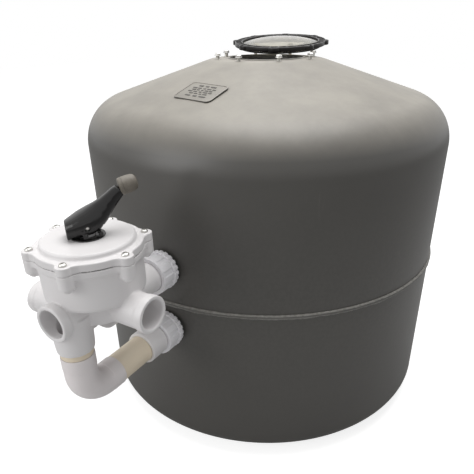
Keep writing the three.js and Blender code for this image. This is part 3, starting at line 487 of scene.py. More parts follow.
def plastic(name, colour, roughness, grain=700, ripple=0.8, bump=0.05, shade=0.07, scuffs=0.2,
        edges=0.1, dust_and_sheen=0.2, worn=(0.5, 0.49, 0.46), dust_and_sheen_colour=(0.42, 0.4, 0.36), specular=0.5):
    """A moulded plastic: its colour drifts, rubs pale, gathers dust and has a fine grain; the pale film on
    faces turned up is dust, and where set high also a painted sheen.
    """
    material, tree, shader = new_material(name)
    texture = place_group(tree, GRAIN, Grain_Size=grain, Ripple=ripple)
    scuffed = place_group(tree, SCUFFS, Amount=scuffs)
    edged = place_group(tree, EDGES, Amount=edges)
    dust_and_sheen_node = place_group(tree, DUST_AND_SHEEN, Amount=dust_and_sheen)
    dark = tuple(c * (1 - shade) for c in colour)
    light = tuple(min(1, c * (1 + shade)) for c in colour)
    drift = range_node(tree, texture.outputs["Shade"], 0.3, 0.7)
    base = mix_colour(tree, drift, dark, light)
    rubbed = mix_colour(tree, math_node(tree, "MAXIMUM", scuffed.outputs[0], edged.outputs[0]), base, worn)
    # pale film on upward faces: settled dust, and at high amounts a painted sheen of the overhead light
    tree.links.new(mix_colour(tree, dust_and_sheen_node.outputs[0], rubbed, dust_and_sheen_colour), shader.inputs["Base Color"])
    rough = math_node(tree, "ADD", math_node(tree, "MULTIPLY", texture.outputs["Shade"], 0.12),
        roughness - 0.06)
    dull = math_node(tree, "MULTIPLY", math_node(tree, "ADD", scuffed.outputs[0], dust_and_sheen_node.outputs[0]), 0.3)
    tree.links.new(math_node(tree, "ADD", rough, dull, clamp=True), shader.inputs["Roughness"])
    add_relief(tree, shader, texture.outputs["Height"], bump, 0.001)
    shader.inputs["Specular IOR Level"].default_value = specular
    return material


def steel(name, colour, roughness, scale):
    """Bright metal with fine turned lines."""
    material, tree, shader = new_material(name)
    shader.inputs["Metallic"].default_value = 1.0
    place = object_place(tree)
    lines = noise_node(tree, stretched(tree, place, (60, 60, scale)), 6.0, 3.0)
    stain = range_node(tree, noise_node(tree, place, 120.0, 3.0), 0.45, 0.75)
    tree.links.new(mix_colour(tree, stain, colour, tuple(c * 0.7 for c in colour)),
        shader.inputs["Base Color"])
    tree.links.new(range_node(tree, lines, 0.3, 0.7, roughness, roughness + 0.18),
        shader.inputs["Roughness"])
    add_relief(tree, shader, lines, 0.12, 0.0004)
    return material


def clear_plastic(name, colour):
    """Smoky clear plastic with a little haze and handling marks."""
    material, tree, shader = new_material(name)
    shader.inputs["Transmission Weight"].default_value = 0.9
    shader.inputs["IOR"].default_value = 1.49
    place = object_place(tree)
    haze = noise_node(tree, place, 30.0, 4.0, 0.6)
    tree.links.new(mix_colour(tree, haze, colour, tuple(c * 0.8 for c in colour)),
        shader.inputs["Base Color"])
    tree.links.new(range_node(tree, haze, 0.35, 0.7, 0.02, 0.07), shader.inputs["Roughness"])
    add_relief(tree, shader, noise_node(tree, place, 60.0, 2.0), 0.05, 0.001)
    return material


# The pale film on faces turned up is set high here: partly settled dust, mostly a painted sheen of the
# overhead light on the cone and shoulders.
TANK_GREY = plastic(
    "tank_grey", (0.062, 0.059, 0.053), 0.4, ripple=1.2, dust_and_sheen=0.55, worn=(0.2, 0.19, 0.17),
    dust_and_sheen_colour=(0.57, 0.53, 0.46), specular=0.65)
# As on the tank, the high pale film on the plate is partly dust and partly a painted sheen of the overhead
# light.
PLATE_GREY = plastic(
    "plate_grey", (0.062, 0.059, 0.053), 0.38, ripple=0.6, scuffs=0.3, edges=0.6, dust_and_sheen=0.5,
    worn=(0.3, 0.29, 0.26), dust_and_sheen_colour=(0.57, 0.53, 0.46), specular=0.65)
PLATE_BAR = plastic(
    "plate_bars", (0.04, 0.037, 0.032), 0.5, grain=900, ripple=0.5, bump=0.06, shade=0.1, scuffs=0.3,
    edges=0.3, dust_and_sheen=0.05)
BAND_GREY = plastic(
    "band_grey", (0.13, 0.127, 0.117), 0.5, grain=500, ripple=1.5, bump=0.25, shade=0.25, scuffs=0.6,
    edges=0.6, dust_and_sheen=0.3)
VALVE_WHITE = plastic(
    "valve_white", (0.78, 0.762, 0.765), 0.36, grain=800, ripple=0.6, bump=0.04, shade=0.03, scuffs=0.1,
    dust_and_sheen=0.1, worn=(0.6, 0.6, 0.6), dust_and_sheen_colour=(0.55, 0.52, 0.48))
NUT_WHITE = plastic(
    "nut_white", (0.87, 0.86, 0.885), 0.4, grain=800, ripple=0.6, shade=0.04, scuffs=0.1, dust_and_sheen=0.15,
    worn=(0.6, 0.6, 0.6), dust_and_sheen_colour=(0.5, 0.47, 0.43))
PIPE_BEIGE = plastic(
    "pipe_beige", (0.82, 0.715, 0.555), 0.42, grain=600, shade=0.06, dust_and_sheen=0.15, worn=(0.7, 0.66, 0.56))
ELBOW_WHITE = plastic(
    "elbow_white", (0.83, 0.785, 0.785), 0.38, shade=0.05, scuffs=0.15, worn=(0.7, 0.69, 0.7),
    dust_and_sheen_colour=(0.5, 0.45, 0.4))
LEVER_BLACK = plastic(
    "lever_black", (0.01, 0.0095, 0.0095), 0.17, bump=0.03, shade=0.3, scuffs=0.15, edges=0.2,
    dust_and_sheen=0.03, worn=(0.07, 0.068, 0.066), dust_and_sheen_colour=(0.14, 0.13, 0.12), specular=0.4)
RING_BLACK = plastic(
    "ring_black", (0.014, 0.012, 0.012), 0.3, bump=0.08, shade=0.3, edges=0.3, dust_and_sheen=0.05,
    worn=(0.1, 0.095, 0.09), dust_and_sheen_colour=(0.16, 0.15, 0.13), specular=0.35)
KNOB_BROWN = plastic(
    "knob_brown", (0.15, 0.133, 0.108), 0.5, grain=500, bump=0.12, shade=0.15, scuffs=0.4, edges=0.5,
    worn=(0.2, 0.18, 0.15))
GASKET_RUBBER = plastic(
    "gasket_rubber", (0.018, 0.018, 0.018), 0.7, grain=600, ripple=0.5, bump=0.15, shade=0.2, edges=0.2,
    worn=(0.08, 0.08, 0.08), dust_and_sheen_colour=(0.2, 0.19, 0.17))
INNER_WHITE = plastic("inner_white", (0.55, 0.56, 0.57), 0.5, ripple=0.6, shade=0.05, scuffs=0.1)
BOLT_STEEL = steel("bolt_steel", (0.62, 0.61, 0.58), 0.22, 900)
CAP_STEEL = steel("cap_steel", (0.75, 0.74, 0.72), 0.18, 200)
LENS = clear_plastic("lens", (0.62, 0.59, 0.50))

# ---- tank ---------------------------------------------------------------------------------------


def crown(inset, inner, bottom):
    """The top half's outline from the hole out over land, cone and shoulder, moved in by inset."""
    centre_r = TANK_R - SHOULDER_R
    along_cone = (LAND_R - centre_r) * math.sin(CONE) + LAND_Z * math.cos(CONE) - SHOULDER_R
    centre_z = along_cone / math.cos(CONE)
    bend = SHOULDER_R - inset
    land = LAND_R - inset * math.tan(CONE / 2)
    soft = 12.0
    corner = [
        (land - soft, LAND_Z - inset),
        (land - 0.3 * soft, LAND_Z - inset - 0.25),
        (land + 0.3 * soft, LAND_Z - inset - 0.3 * soft * math.tan(CONE) - 0.25),
        (land + soft, LAND_Z - inset - soft * math.tan(CONE)),
    ]
    shoulder = arc(centre_r, centre_z, bend, bend, math.pi / 2 - CONE, 0, 28)
    return [(inner, LAND_Z - inset), *corner, *shoulder, (TANK_R - inset, bottom)]


def base(inset, top):
    """The bottom half's outline from the seam down to the axis, moved in by inset."""
    corner = arc(TANK_R - CORNER_R, CORNER_H, CORNER_R - inset, CORNER_H - inset, 0, -math.pi / 2, 20)
    return [(TANK_R - inset, top), *corner, (0, inset)]


def make_tank():
    lip_top = LAND_Z + LIP_H
    lip = [(HOLE_R, lip_top - 0.8), (HOLE_R + 0.8, lip_top), (HOLE_R + LIP_W - 0.8, lip_top),
        (HOLE_R + LIP_W, lip_top - 0.8)]
    outer = crown(0, HOLE_R + LIP_W + 1.2, SEAM_Z)
    inner = crown(WALL, HOLE_R, SEAM_Z)
    upper = revolve("upper", [*reversed(inner), *lip, (HOLE_R + LIP_W, LAND_Z + 1), *outer], 256)
    finished(upper, "tank_upper", TANK_GREY, "root", ["tank_upper_shell"], 50)

    top = high("tank_lower_shell", "z")
    lower = revolve("lower", [*reversed(base(0, top)), *base(WALL, top)], 256)
    finished(lower, "tank_lower", TANK_GREY, "root", ["tank_lower_shell"], 50)


def make_seam_band():
    """Two low ridges of melted plastic: the upper one even, the lower one ragged."""
    bottom, top = low("seam_band", "z"), high("seam_band", "z")
    inner = TANK_R + 0.05
    proud = BAND_OUT_R - inner
    upper = [(0, top), (0.55, top - 0.4), (0.95, top - 1.6), (0.85, top - 2.9), (0.35, top - 3.9)]
    lower = [(0.3, top - 5.2), (0.55, top - 6.2), (0.7, top - 7.4), (0.4, bottom + 1.2), (0, bottom + 0.8)]
    profile = [(inner + share * proud, z) for share, z in upper + lower]

    def ragged(i, r, a):
        if i in (0, len(profile) - 1):
            return r
        wander = 0.5 * math.sin(13 * a + 1.3) + 0.5 * math.sin(41 * a) * math.sin(7 * a + 2)
        share = 0.10 if i < len(upper) else 0.28
        return min(BAND_OUT_R, max(inner, r + share * proud * wander))

    def drooping(i, z, a):
        if i < len(upper):
            return z
        sag = 0.7 * math.sin(29 * a + 0.4) + 0.5 * math.sin(67 * a) + 0.4 * math.sin(113 * a + 1)
        return max(bottom, min(top, z + 0.45 * sag))

    band = revolve("band", profile, 720, ragged, drooping)
    finished(band, "seam_bead", BAND_GREY, "root", ["seam_band"], 60)


def cone_height(radius):
    return LAND_Z - (radius - LAND_R) * math.tan(CONE)


def rounded_pad(width, depth, corner, bottom, top, bevel):
    """A flat pad with round corners and a softened top edge."""
    outline = []
    for k, (sx, sy) in enumerate(((1, 1), (-1, 1), (-1, -1), (1, -1))):
        for j in range(9):
            a = math.pi / 2 * (k + j / 8)
            x = sx * (width / 2 - corner) + corner * math.cos(a)
            y = sy * (depth / 2 - corner) + corner * math.sin(a)
            outline.append((x, y))
    rings = []
    for inset, z in ((0, bottom), (0, top - bevel), (0.3 * bevel, top - 0.3 * bevel), (bevel, top)):
        rings.append([(x * (1 - 2 * inset / width), y * (1 - 2 * inset / depth), z) for x, y in outline])
    return lofted("pad", rings)


PLATE_W, PLATE_D, PLATE_CORNER, PLATE_T = 85.0, 62.0, 9.0, 1.9
PLATE_RIM = 2.5
PLATE_MARGIN = 16
PLATE_RADIUS = 237.5  # tank's axis to the plate's middle
PLATE_PLACE = (
    turned(math.radians(-0.9), "Z")
    @ at(0, -PLATE_RADIUS, cone_height(PLATE_RADIUS))
    @ turned(CONE, "X")
    @ turned(math.radians(-7), "Z")
)
# place across the plate, share of its width, height of the bars
PLATE_ROWS = [(19, 0.62, 4), (10.5, 0.8, 3), (4, 0.7, 3), (-2.5, 0.82, 3), (-9, 0.6, 3), (-17.5, 0.72, 4)]


def make_plate_bars():
    """Plain raised bars of three lengths, in place of any lettering."""
    bars = []
    for y, share, tall in PLATE_ROWS:
        length = share * (PLATE_W - PLATE_MARGIN)
        count = max(3, int(length / (3.2 * tall)))
        for k in range(count):
            bar = (0.86 - 0.18 * ((k * 7 + tall) % 3)) * length / count
            x = -length / 2 + (k + 0.5) * length / count
            bars.append(moved(rounded_pad(bar, tall, 0.9, PLATE_T - 0.4, PLATE_T + 0.1, 0.2), at(x, y, 0)))
    bars = moved(joined(bars), PLATE_PLACE)
    finished(bars, "plate_lines", PLATE_BAR, "root", [], 40)


def make_name_plate():
    """A raised plate on the cone with a low rim."""
    field = rounded_pad(PLATE_W, PLATE_D, PLATE_CORNER, 0.5, PLATE_T - 0.5, 0.5)
    rim = rounded_pad(PLATE_W, PLATE_D, PLATE_CORNER, 0.6, PLATE_T, 0.4)
    inside = rounded_pad(PLATE_W - 2 * PLATE_RIM, PLATE_D - 2 * PLATE_RIM, PLATE_CORNER - 2, 0, 3, 0.2)
    combine(rim, [inside], "DIFFERENCE")
    make_plate_bars()
    plate = moved(joined([field, rim]), PLATE_PLACE)
    finished(recalculated(plate), "embossed_plate", PLATE_GREY, "root", ["name_plate"], 40)


# ---- geometry nodes that set copies round a circle ----------------------------------------------


def make_ring_tree():
    """Copies a piece at even steps round +Z. Inputs: the piece, how many, radius, phase, material."""
    tree = bpy.data.node_groups.new("set_round_a_circle", "GeometryNodeTree")
    sockets = [("Geometry", "Geometry"), ("Piece", "Object"), ("Count", "Int"), ("Radius", "Float"),
        ("Phase", "Float"), ("Material", "Material")]
    for label, kind in sockets:
        tree.interface.new_socket(label, in_out="INPUT", socket_type="NodeSocket" + kind)
    tree.interface.new_socket("Geometry", in_out="OUTPUT", socket_type="NodeSocketGeometry")
    inside = tree.nodes.new("NodeGroupInput")
    outside = tree.nodes.new("NodeGroupOutput")
    circle = tree.nodes.new("GeometryNodeMeshCircle")
    spin = tree.nodes.new("GeometryNodeTransform")
    spread = tree.nodes.new("GeometryNodeInstanceOnPoints")
    piece = tree.nodes.new("GeometryNodeObjectInfo")
    index = tree.nodes.new("GeometryNodeInputIndex")
    share = tree.nodes.new("ShaderNodeMath")
    share.operation = "DIVIDE"
    angle = tree.nodes.new("ShaderNodeMath")
    angle.operation = "MULTIPLY"
    angle.inputs[1].default_value = TURN
    turn = tree.nodes.new("ShaderNodeCombineXYZ")
    phase = tree.nodes.new("ShaderNodeCombineXYZ")
    realize = tree.nodes.new("GeometryNodeRealizeInstances")
    paint = tree.nodes.new("GeometryNodeSetMaterial")
    for source, output, target, socket in (
        (inside, "Count", circle, "Vertices"),
        (inside, "Radius", circle, "Radius"),
        (inside, "Piece", piece, "Object"),
        (circle, "Mesh", spread, "Points"),
        (piece, "Geometry", spread, "Instance"),
        (index, "Index", share, 0),
        (inside, "Count", share, 1),
        (share, 0, angle, 0),
        (angle, 0, turn, "Z"),
        (turn, "Vector", spread, "Rotation"),
        (spread, "Instances", spin, "Geometry"),
        (inside, "Phase", phase, "Z"),
        (phase, "Vector", spin, "Rotation"),
        (spin, "Geometry", realize, "Geometry"),
        (realize, "Geometry", paint, "Geometry"),
        (inside, "Material", paint, "Material"),
        (paint, "Geometry", outside, "Geometry"),
    ):
        tree.links.new(source.outputs[output], target.inputs[socket])
    return tree


RING_TREE = make_ring_tree()


def set_round(piece, count, radius, phase, material, name):
    """The piece copied round +Z by the tree above, as a plain mesh."""
    host = new_object(name, bpy.data.meshes.new(name))
    step = host.modifiers.new("copies", "NODES")
    step.node_group = RING_TREE
    values = {"Piece": piece, "Count": count, "Radius": radius * MM, "Phase": phase, "Material": material}
    for item in RING_TREE.interface.items_tree:
        if item.in_out == "INPUT" and item.name in values:
            step[item.identifier] = values[item.name]
    host.update_tag()
    bpy.context.view_layer.update()
    baked(host)
    bpy.data.objects.remove(piece)
    return host


# ---- manhole bolts and lid ----------------------------------------------------------------------

BOLT_CIRCLE_R = 102.0
BOLTS = 8
BOLT_NAMES = ["manhole_bolt_%d" % (i + 1) for i in range(BOLTS)]
BOLT_HEAD_H = 5.5


def bolt_shank(top):
    """A threaded stud: shallow turned grooves from the land up to the cap."""
    foot = low("manhole_bolt_1", "z") + 0.5
    profile = [(0, foot), (3.4, foot)]
    z = foot
    while z < top - 1:
        profile += [(3.9, z + 0.35), (3.45, z + 0.8)]
        z += 0.9
    profile += [(3.9, top), (0, top)]
    return revolve("shank", profile, 20)


def bolt_cap(bottom, top):
    """A hexagon head over a washer, with a domed top."""
    washer_r, washer_top = 6.9, bottom + 1.1
    washer_side = [(0, bottom), (washer_r, bottom), (washer_r, washer_top), (0, washer_top)]
    washer = revolve("washer", rounded(washer_side, 0.3), 36)
    head_side = [(0, bottom + 1), (5.9, bottom + 1), (6.1, bottom + 1.5), (6.1, top - 1.4),
        (5.2, top - 0.5), (3.2, top - 0.05), (0, top)]
    head = revolve("head", head_side, 6)
    return joined([washer, head])


def make_manhole_bolts():
    for i, name in enumerate(BOLT_NAMES):
        top = high(name, "z")
        centre = middle(name)
        place = at(centre.x, centre.y, 0)
        cap = moved(bolt_cap(top - BOLT_HEAD_H, top), place @ turned(0.7 * i, "Z"))
        shank = moved(bolt_shank(top - BOLT_HEAD_H + 0.1), place)
        cap.data.materials.append(CAP_STEEL)
        shank.data.materials.append(BOLT_STEEL)
        bolt = joined([cap, shank])
        bolt.name = bolt.data.name = name + "_fine"
        smooth(bolt, 30)
        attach(bolt, "root")
        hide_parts(name)


# The lid lies tipped on the land, its far edge held under the two raised bolts.
LID_PLACE = at(-17, 99, 746) @ turned(math.radians(18.7), "Z") @ turned(math.radians(5.7), "X")


def make_lid():
    seat = rounded([(80.2, 5.6), (89.5, 5.6), (89.5, 7.9), (80.2, 7.9)], 0.8)
    gasket = moved(revolve("gasket", seat, 128), LID_PLACE)
    finished(gasket, "lid_seal", GASKET_RUBBER, "lid", ["lid_gasket"])

    bottom, flange_top, rim, wall = 8.2, 10.3, 82.5, 3.0
    edge, rise = 16.0, 10.0
    sphere = (rim**2 + rise**2) / (2 * rise)
    start = math.pi / 2 - math.asin(rim / sphere)
    dome = arc(0, edge + rise - sphere, sphere, sphere, start, math.pi / 2, 16)
    dome[-1] = (0, dome[-1][1])
    inner = arc(0, edge + rise - sphere, sphere - wall, sphere - wall, math.pi / 2, start + 0.03, 16)
    inner[0] = (0, inner[0][1])
    skirt = [(rim - wall, bottom)]
    flange = [(90.7, bottom), (91.3, bottom + 0.5), (91.3, flange_top - 0.3), (91, flange_top),
        (rim, flange_top)]
    lens = moved(revolve("lens", [*inner, *skirt, *flange, *dome], 128), LID_PLACE)
    finished(lens, "lid_lens", LENS, "lid", ["lid_dome"], 50)

    ring_low, ring_top = 10.7, 19.5
    ring_inner, ring_outer = 84, 100.8
    ring = tube(ring_inner, ring_outer, ring_low, ring_top, 192, "ring", 1.6)
    lobe_side = [(0, ring_low), (13.5, ring_low), (13.5, ring_top), (0, ring_top)]
    lobe = revolve("lobe", rounded(lobe_side, 1.6), 48)
    lobes = set_round(lobe, BOLTS, 93.5, 0, RING_BLACK, "lobes")
    hole = rod(4.6, ring_low - 2, ring_top + 2, 32, "hole")
    holes = set_round(hole, BOLTS, BOLT_CIRCLE_R, 0, RING_BLACK, "holes")
    window = rod(ring_inner, ring_low - 2, ring_top + 2, 128, "window")
    clamp = combine(combine(ring, [lobes], "UNION"), [holes, window], "DIFFERENCE")
    recess = tube(86.5, 98.5, ring_top - 1.2, ring_top + 2, 192, "recess", 0.4)
    combine(clamp, [recess], "DIFFERENCE")
    rib_count = 32
    rib = moved(box_solid(13, 1.6, 1.0, "rib"), at(0, 0, ring_top - 0.6))
    ribs = set_round(rib, rib_count, 92.5, math.pi / rib_count, RING_BLACK, "ribs")
    clamp = joined([clamp, ribs])
    moved(clamp, LID_PLACE)
    finished(clamp, "lid_clamp", RING_BLACK, "lid", ["lid_clamp_ring"], 35)


# ---- valve --------------------------------------------------------------------------------------


def lug_places():
    for i in range(LUGS):
        a = LUG_PHASE + TURN * i / LUGS
        yield LUG_CIRCLE_R * math.cos(a), LUG_CIRCLE_R * math.sin(a)


def lug_rods(radius, start, end, segments=20):
    return [moved(rod(radius, start, end, segments), at(x, y, 0)) for x, y in lug_places()]


def scalloped(flange_from):
    """Swells every profile point at the flange's radius out to the lugs in smooth curves."""
    swell = LUG_CIRCLE_R + LUG_R - 1.5 - FLANGE_R

    def radius(_, r, a):
        if r < flange_from:
            return r
        step = TURN / LUGS
        away = abs((a - LUG_PHASE + step / 2) % step - step / 2) / LUG_HALF_ANGLE
        return r if away >= 1 else r + swell * (0.5 + 0.5 * math.cos(math.pi * away)) ** 1.5

    return radius


# direction, reach from the valve's axis, height, and where the port starts inside the body
PORTS = [
    (ALONG_MINUS_Y, FRONT_REACH, FRONT_Z, 0),
    (ALONG_PLUS_X, SIDE_REACH, FRONT_Z, 0),
    (ALONG_MINUS_X, REAR_REACH, REAR_Z, 20),
]
PORT_RIM_L = 15
PORT_DEPTH = 44


def make_valve_body():
    top = RIM_Z - 0.1
    cup_side = [(0, BODY_Z), (BODY_R - 7, BODY_Z), (BODY_R - 2.5, BODY_Z + 1.6),
        (BODY_R - 0.6, BODY_Z + 6), (BODY_R, RIM_Z - 12), (FLANGE_R, RIM_Z - 9), (FLANGE_R, top),
        (0, top)]
    cup = revolve("cup", cup_side, 180, scalloped(FLANGE_R - 0.1))
    parts = [rod(52.5, 420, BODY_Z + 5, 96)]
    for turn, reach, height, start in PORTS:
        rim = reach - PORT_RIM_L
        port = [(0, start), (PORT_R, start), (PORT_R, rim), (PORT_RIM_R, rim + 2), (PORT_RIM_R, reach),
            (0, reach)]
        parts.append(moved(revolve("port", port, 72), at(0, 0, height) @ turn))
    face = high("valve_body", "y") - VALVE_Y
    tank_port = [(0, -2), (33.5, -2), (33.5, 65), (30.5, 71), (27, 73), (27, face - 5.3),
        (31, face - 5), (31, face), (0, face)]
    parts.append(moved(revolve("tank_port", tank_port, 72), at(0, 0, UPPER_Z) @ ALONG_PLUS_Y))
    outlet_end = OUTLET_Z + STUB_SHOWN
    outlet = [(0, outlet_end), (27.4, outlet_end), (28.2, OUTLET_Z + 18), (30.5, FRONT_Z), (0, FRONT_Z)]
    parts.append(moved(revolve("outlet", outlet, 72), at(0, -OUTLET_OFFSET, 0)))
    for x, y in lug_places():
        boss = [(0, RIM_Z - 28), (4, RIM_Z - 28), (LUG_R, RIM_Z - 20), (LUG_R, top), (0, top)]
        parts.append(moved(revolve("boss", boss, 48), at(x, y, 0)))
    combine(cup, parts, "UNION")
    cuts = [rod(BODY_R - 7.5, BODY_Z + 15, RIM_Z + 2, 96)]
    for turn, reach, height, _ in PORTS:
        floor = reach - PORT_DEPTH
        bore = [(0, floor), (19, floor), (PORT_BORE_R - 1.2, floor + 3), (PORT_BORE_R, reach - 2),
            (PORT_BORE_R + 1.2, reach + 1), (0, reach + 1)]
        cuts.append(moved(revolve("bore", bore, 64), at(0, 0, height) @ turn))
    cuts.append(moved(rod(20, 37, face + 2, 64), at(0, 0, UPPER_Z) @ ALONG_PLUS_Y))
    cuts.append(moved(rod(24.4, OUTLET_Z - 2, OUTLET_Z + 17, 64), at(0, -OUTLET_OFFSET, 0)))
    cuts.append(moved(rod(20, OUTLET_Z + 10, FRONT_Z - 4, 64), at(0, -OUTLET_OFFSET, 0)))
    cuts += lug_rods(2.7, RIM_Z - 22, RIM_Z + 2)
    combine(cup, cuts, "DIFFERENCE")
    moulded(cup, 1.3, 3)
    moved(cup, at(0, VALVE_Y, 0))
    finished(cup, "valve_housing", VALVE_WHITE, "root", ["valve_body"], None)


def make_valve_cover():
    bottom = RIM_Z + 0.4
    plate_side = [(0, bottom), (FLANGE_R, bottom), (FLANGE_R, FLANGE_TOP_Z - 1),
        (FLANGE_R - 1.2, FLANGE_TOP_Z), (PLATEAU_R + 1.5, FLANGE_TOP_Z),
        (PLATEAU_R, FLANGE_TOP_Z + 1.2), (PLATEAU_R - 0.6, PLATEAU_Z - 2.4), (PLATEAU_R - 3, PLATEAU_Z),
        (0, PLATEAU_Z)]
    plate = revolve("plate", plate_side, 180, scalloped(FLANGE_R - 1.5))
    combine(plate, lug_rods(LUG_R, bottom, FLANGE_TOP_Z, 48), "UNION")
    cuts = [rod(11.7, bottom - 5, PLATEAU_Z + 5, 48), rod(FLANGE_R - 0.4, bottom - 5, COVER_Z + 0.1, 96)]
    cuts += lug_rods(2.8, bottom - 5, FLANGE_TOP_Z + 5)
    cuts.append(moved(rod(1.6, PLATEAU_Z - 2.5, PLATEAU_Z + 2, 16), at(-42, 9, 0)))
    combine(plate, cuts, "DIFFERENCE")
    moulded(plate, 0.95, 2)
    moved(plate, at(0, VALVE_Y, 0))
    finished(plate, "valve_lid", VALVE_WHITE, "root", ["valve_cover"], None)

    seal = moved(tube(68, 76.2, RIM_Z + GAP, COVER_Z - GAP, 96, "seal", 0.2), at(0, VALVE_Y, 0))
    finished(seal, "cover_seal", GASKET_RUBBER, "root", ["cover_gasket"])


def make_cover_screws():
    seat = FLANGE_TOP_Z + 0.4
    head = [(0, FLANGE_TOP_Z - 26), (2.3, FLANGE_TOP_Z - 26), (2.3, seat), (5.4, seat),
        (5.4, seat + 1.1), (4.6, seat + 2.5), (3.0, seat + 3.3), (0, seat + 3.5)]
    screw = revolve("screw", head, 32)
    slots = []
    for quarter in (0, math.pi / 2):
        slots.append(moved(box_solid(6, 1.1, 3), at(0, 0, seat + 3.4) @ turned(quarter + 0.4, "Z")))
    combine(screw, slots, "DIFFERENCE")
    screws = set_round(screw, LUGS, LUG_CIRCLE_R, LUG_PHASE, BOLT_STEEL, "screws")
    moved(screws, at(0, VALVE_Y, 0))
    finished(screws, "cover_screws_fine", BOLT_STEEL, "root",
        ["cover_screw_%d" % (i + 1) for i in range(LUGS)], 30)


SQUARENESS = 2.6  # 2 is an oval, and more is squarer


def ellipse_loft(sections, name, segments=28):
    """A closed skin through rounded sections: place, height, lean, half height and half width."""
    rings = []
    for s, z, lean, tall, wide in sections:
        ring = []
        for k in range(segments):
            a = TURN * k / segments
            soft = (abs(math.cos(a)) ** SQUARENESS + abs(math.sin(a)) ** SQUARENESS) ** (-1 / SQUARENESS)
            up, side = tall * math.sin(a) * soft, wide * math.cos(a) * soft
            ring.append((s - up * math.sin(lean), side, z + up * math.cos(lean)))
        rings.append(ring)
    return recalculated(lofted(name, rings))


LEVER_PLACE = at(0, VALVE_Y, PLATEAU_Z) @ turned(LEVER_TURN, "Z")


def make_lever():
    """A curved horn on a hub with three pairs of feet, and a slot underneath for the shaft."""
    # along the lever, height, lean, half height, half width
    sections = [
        (-28.6, 14.0, 0.0, 10.5, 14.0),
        (-27.6, 14.2, 0.0, 12.0, 15.5),
        (-18, 16.5, 0.05, 14.5, 19.5),
        (-8, 19.0, 0.12, 17.0, 22.0),
        (3, 22.0, 0.25, 18.5, 22.0),
        (13, 27.0, 0.42, 18.0, 18.5),
        (22, 34.0, 0.58, 15.5, 14.5),
        (31, 42.5, 0.70, 12.5, 11.6),
        (40, 51.0, 0.78, 10.6, 10.0),
        (48, 58.5, 0.88, 9.4, 9.2),
        (53.5, 62.8, 1.05, 8.6, 8.6),
    ]
    horn = ellipse_loft(sections, "horn")
    hollow = moved(box_solid(70, 80, 12), at(-2, 0, -1.8))
    combine(horn, [hollow], "DIFFERENCE")
    foot_pairs = ((-25, 11), (-4, 19), (17, 15))
    foot_places = [(s, way * side) for s, side in foot_pairs for way in (1, -1)]
    feet = [moved(box_solid(6.5, 5.5, 6), at(s, side, 5.5)) for s, side in foot_places]
    combine(horn, feet, "UNION")
    slot = moved(box_solid(36.5, 23.4, 35), at(5.2, 0, 11))
    pockets = []
    for side in (-1, 1):
        for s, z, size in ((-20, 15, 8), (-8, 13, 7), (6, 14, 8)):
            pockets.append(moved(box_solid(size, 4.5, size), at(s, side * 22.5, z)))
    pin_hole = moved(rod(3.4, -40, 40, 24), at(0, 0, PIN_RISE) @ ALONG_MINUS_Y)
    underside = moved(box_solid(120, 80, 20), at(0, 0, FOOT_RISE - 10))
    combine(horn, [slot, pin_hole, underside, *pockets], "DIFFERENCE")
    moulded(horn, 0.8, 4)
    moved(horn, LEVER_PLACE)
    finished(horn, "selector_lever", LEVER_BLACK, "lever", ["lever"], None)

    outline = [(0, 0), (10, 0), (12.2, 1.5), (12.7, 5), (12.4, 15), (11.6, 21), (9.6, 24.6), (6, 26.3),
        (0, 26.8)]
    cap = revolve("cap", rounded(outline, 1.2, 4, False), 64)
    groove = tube(12.1, 14, 5.4, 6.3, 64, "groove", 0.1)
    combine(cap, [groove], "DIFFERENCE")
    moved(cap, LEVER_PLACE @ at(51.6, 0, CAP_START_RISE) @ turned(CAP_LEAN, "Y"))
    finished(cap, "lever_end_cap", KNOB_BROWN, "lever", ["lever_cap"], 40)

    washer = moved(tube(11.8, 24.8, PLATEAU_Z + 0.35, PLATEAU_Z + 1.85, 96, "washer", 0.5),
        at(0, VALVE_Y, 0))
    finished(washer, "lever_washer", LEVER_BLACK, "carriage", ["thrust_washer"])
    pin_r, pin_end = 2.9, 16.8
    pin_side = [(0, -pin_end), (pin_r, -pin_end), (pin_r, pin_end), (0, pin_end)]
    pin = moved(revolve("pin", rounded(pin_side, 0.5), 32),
        LEVER_PLACE @ at(0, 0, PIN_RISE) @ ALONG_MINUS_Y)
    finished(pin, "lever_pin_fine", BOLT_STEEL, "rotor", ["lever_pin"])


# ---- unions and pipework ------------------------------------------------------------------------


def ribbed(name, radius, groove, start, end, ribs, bevel, inner):
    """A ring with raised ribs along its length, softened at both ends."""
    profile = [(inner, start), (radius - bevel, start), (radius, start + bevel), (radius, end - bevel),
        (radius - bevel, end), (inner, end)]
    profile = rounded(profile, 0.6, 2)

    def shaped(_, r, a):
        if r < radius - groove - bevel:
            return r
        wave = math.cos(ribs * a)
        flat = max(-1.0, min(1.0, 4.0 * wave + 0.9))
        return r - groove * (1 - flat) / 2

    return revolve(name, profile, ribs * 16, shaped)


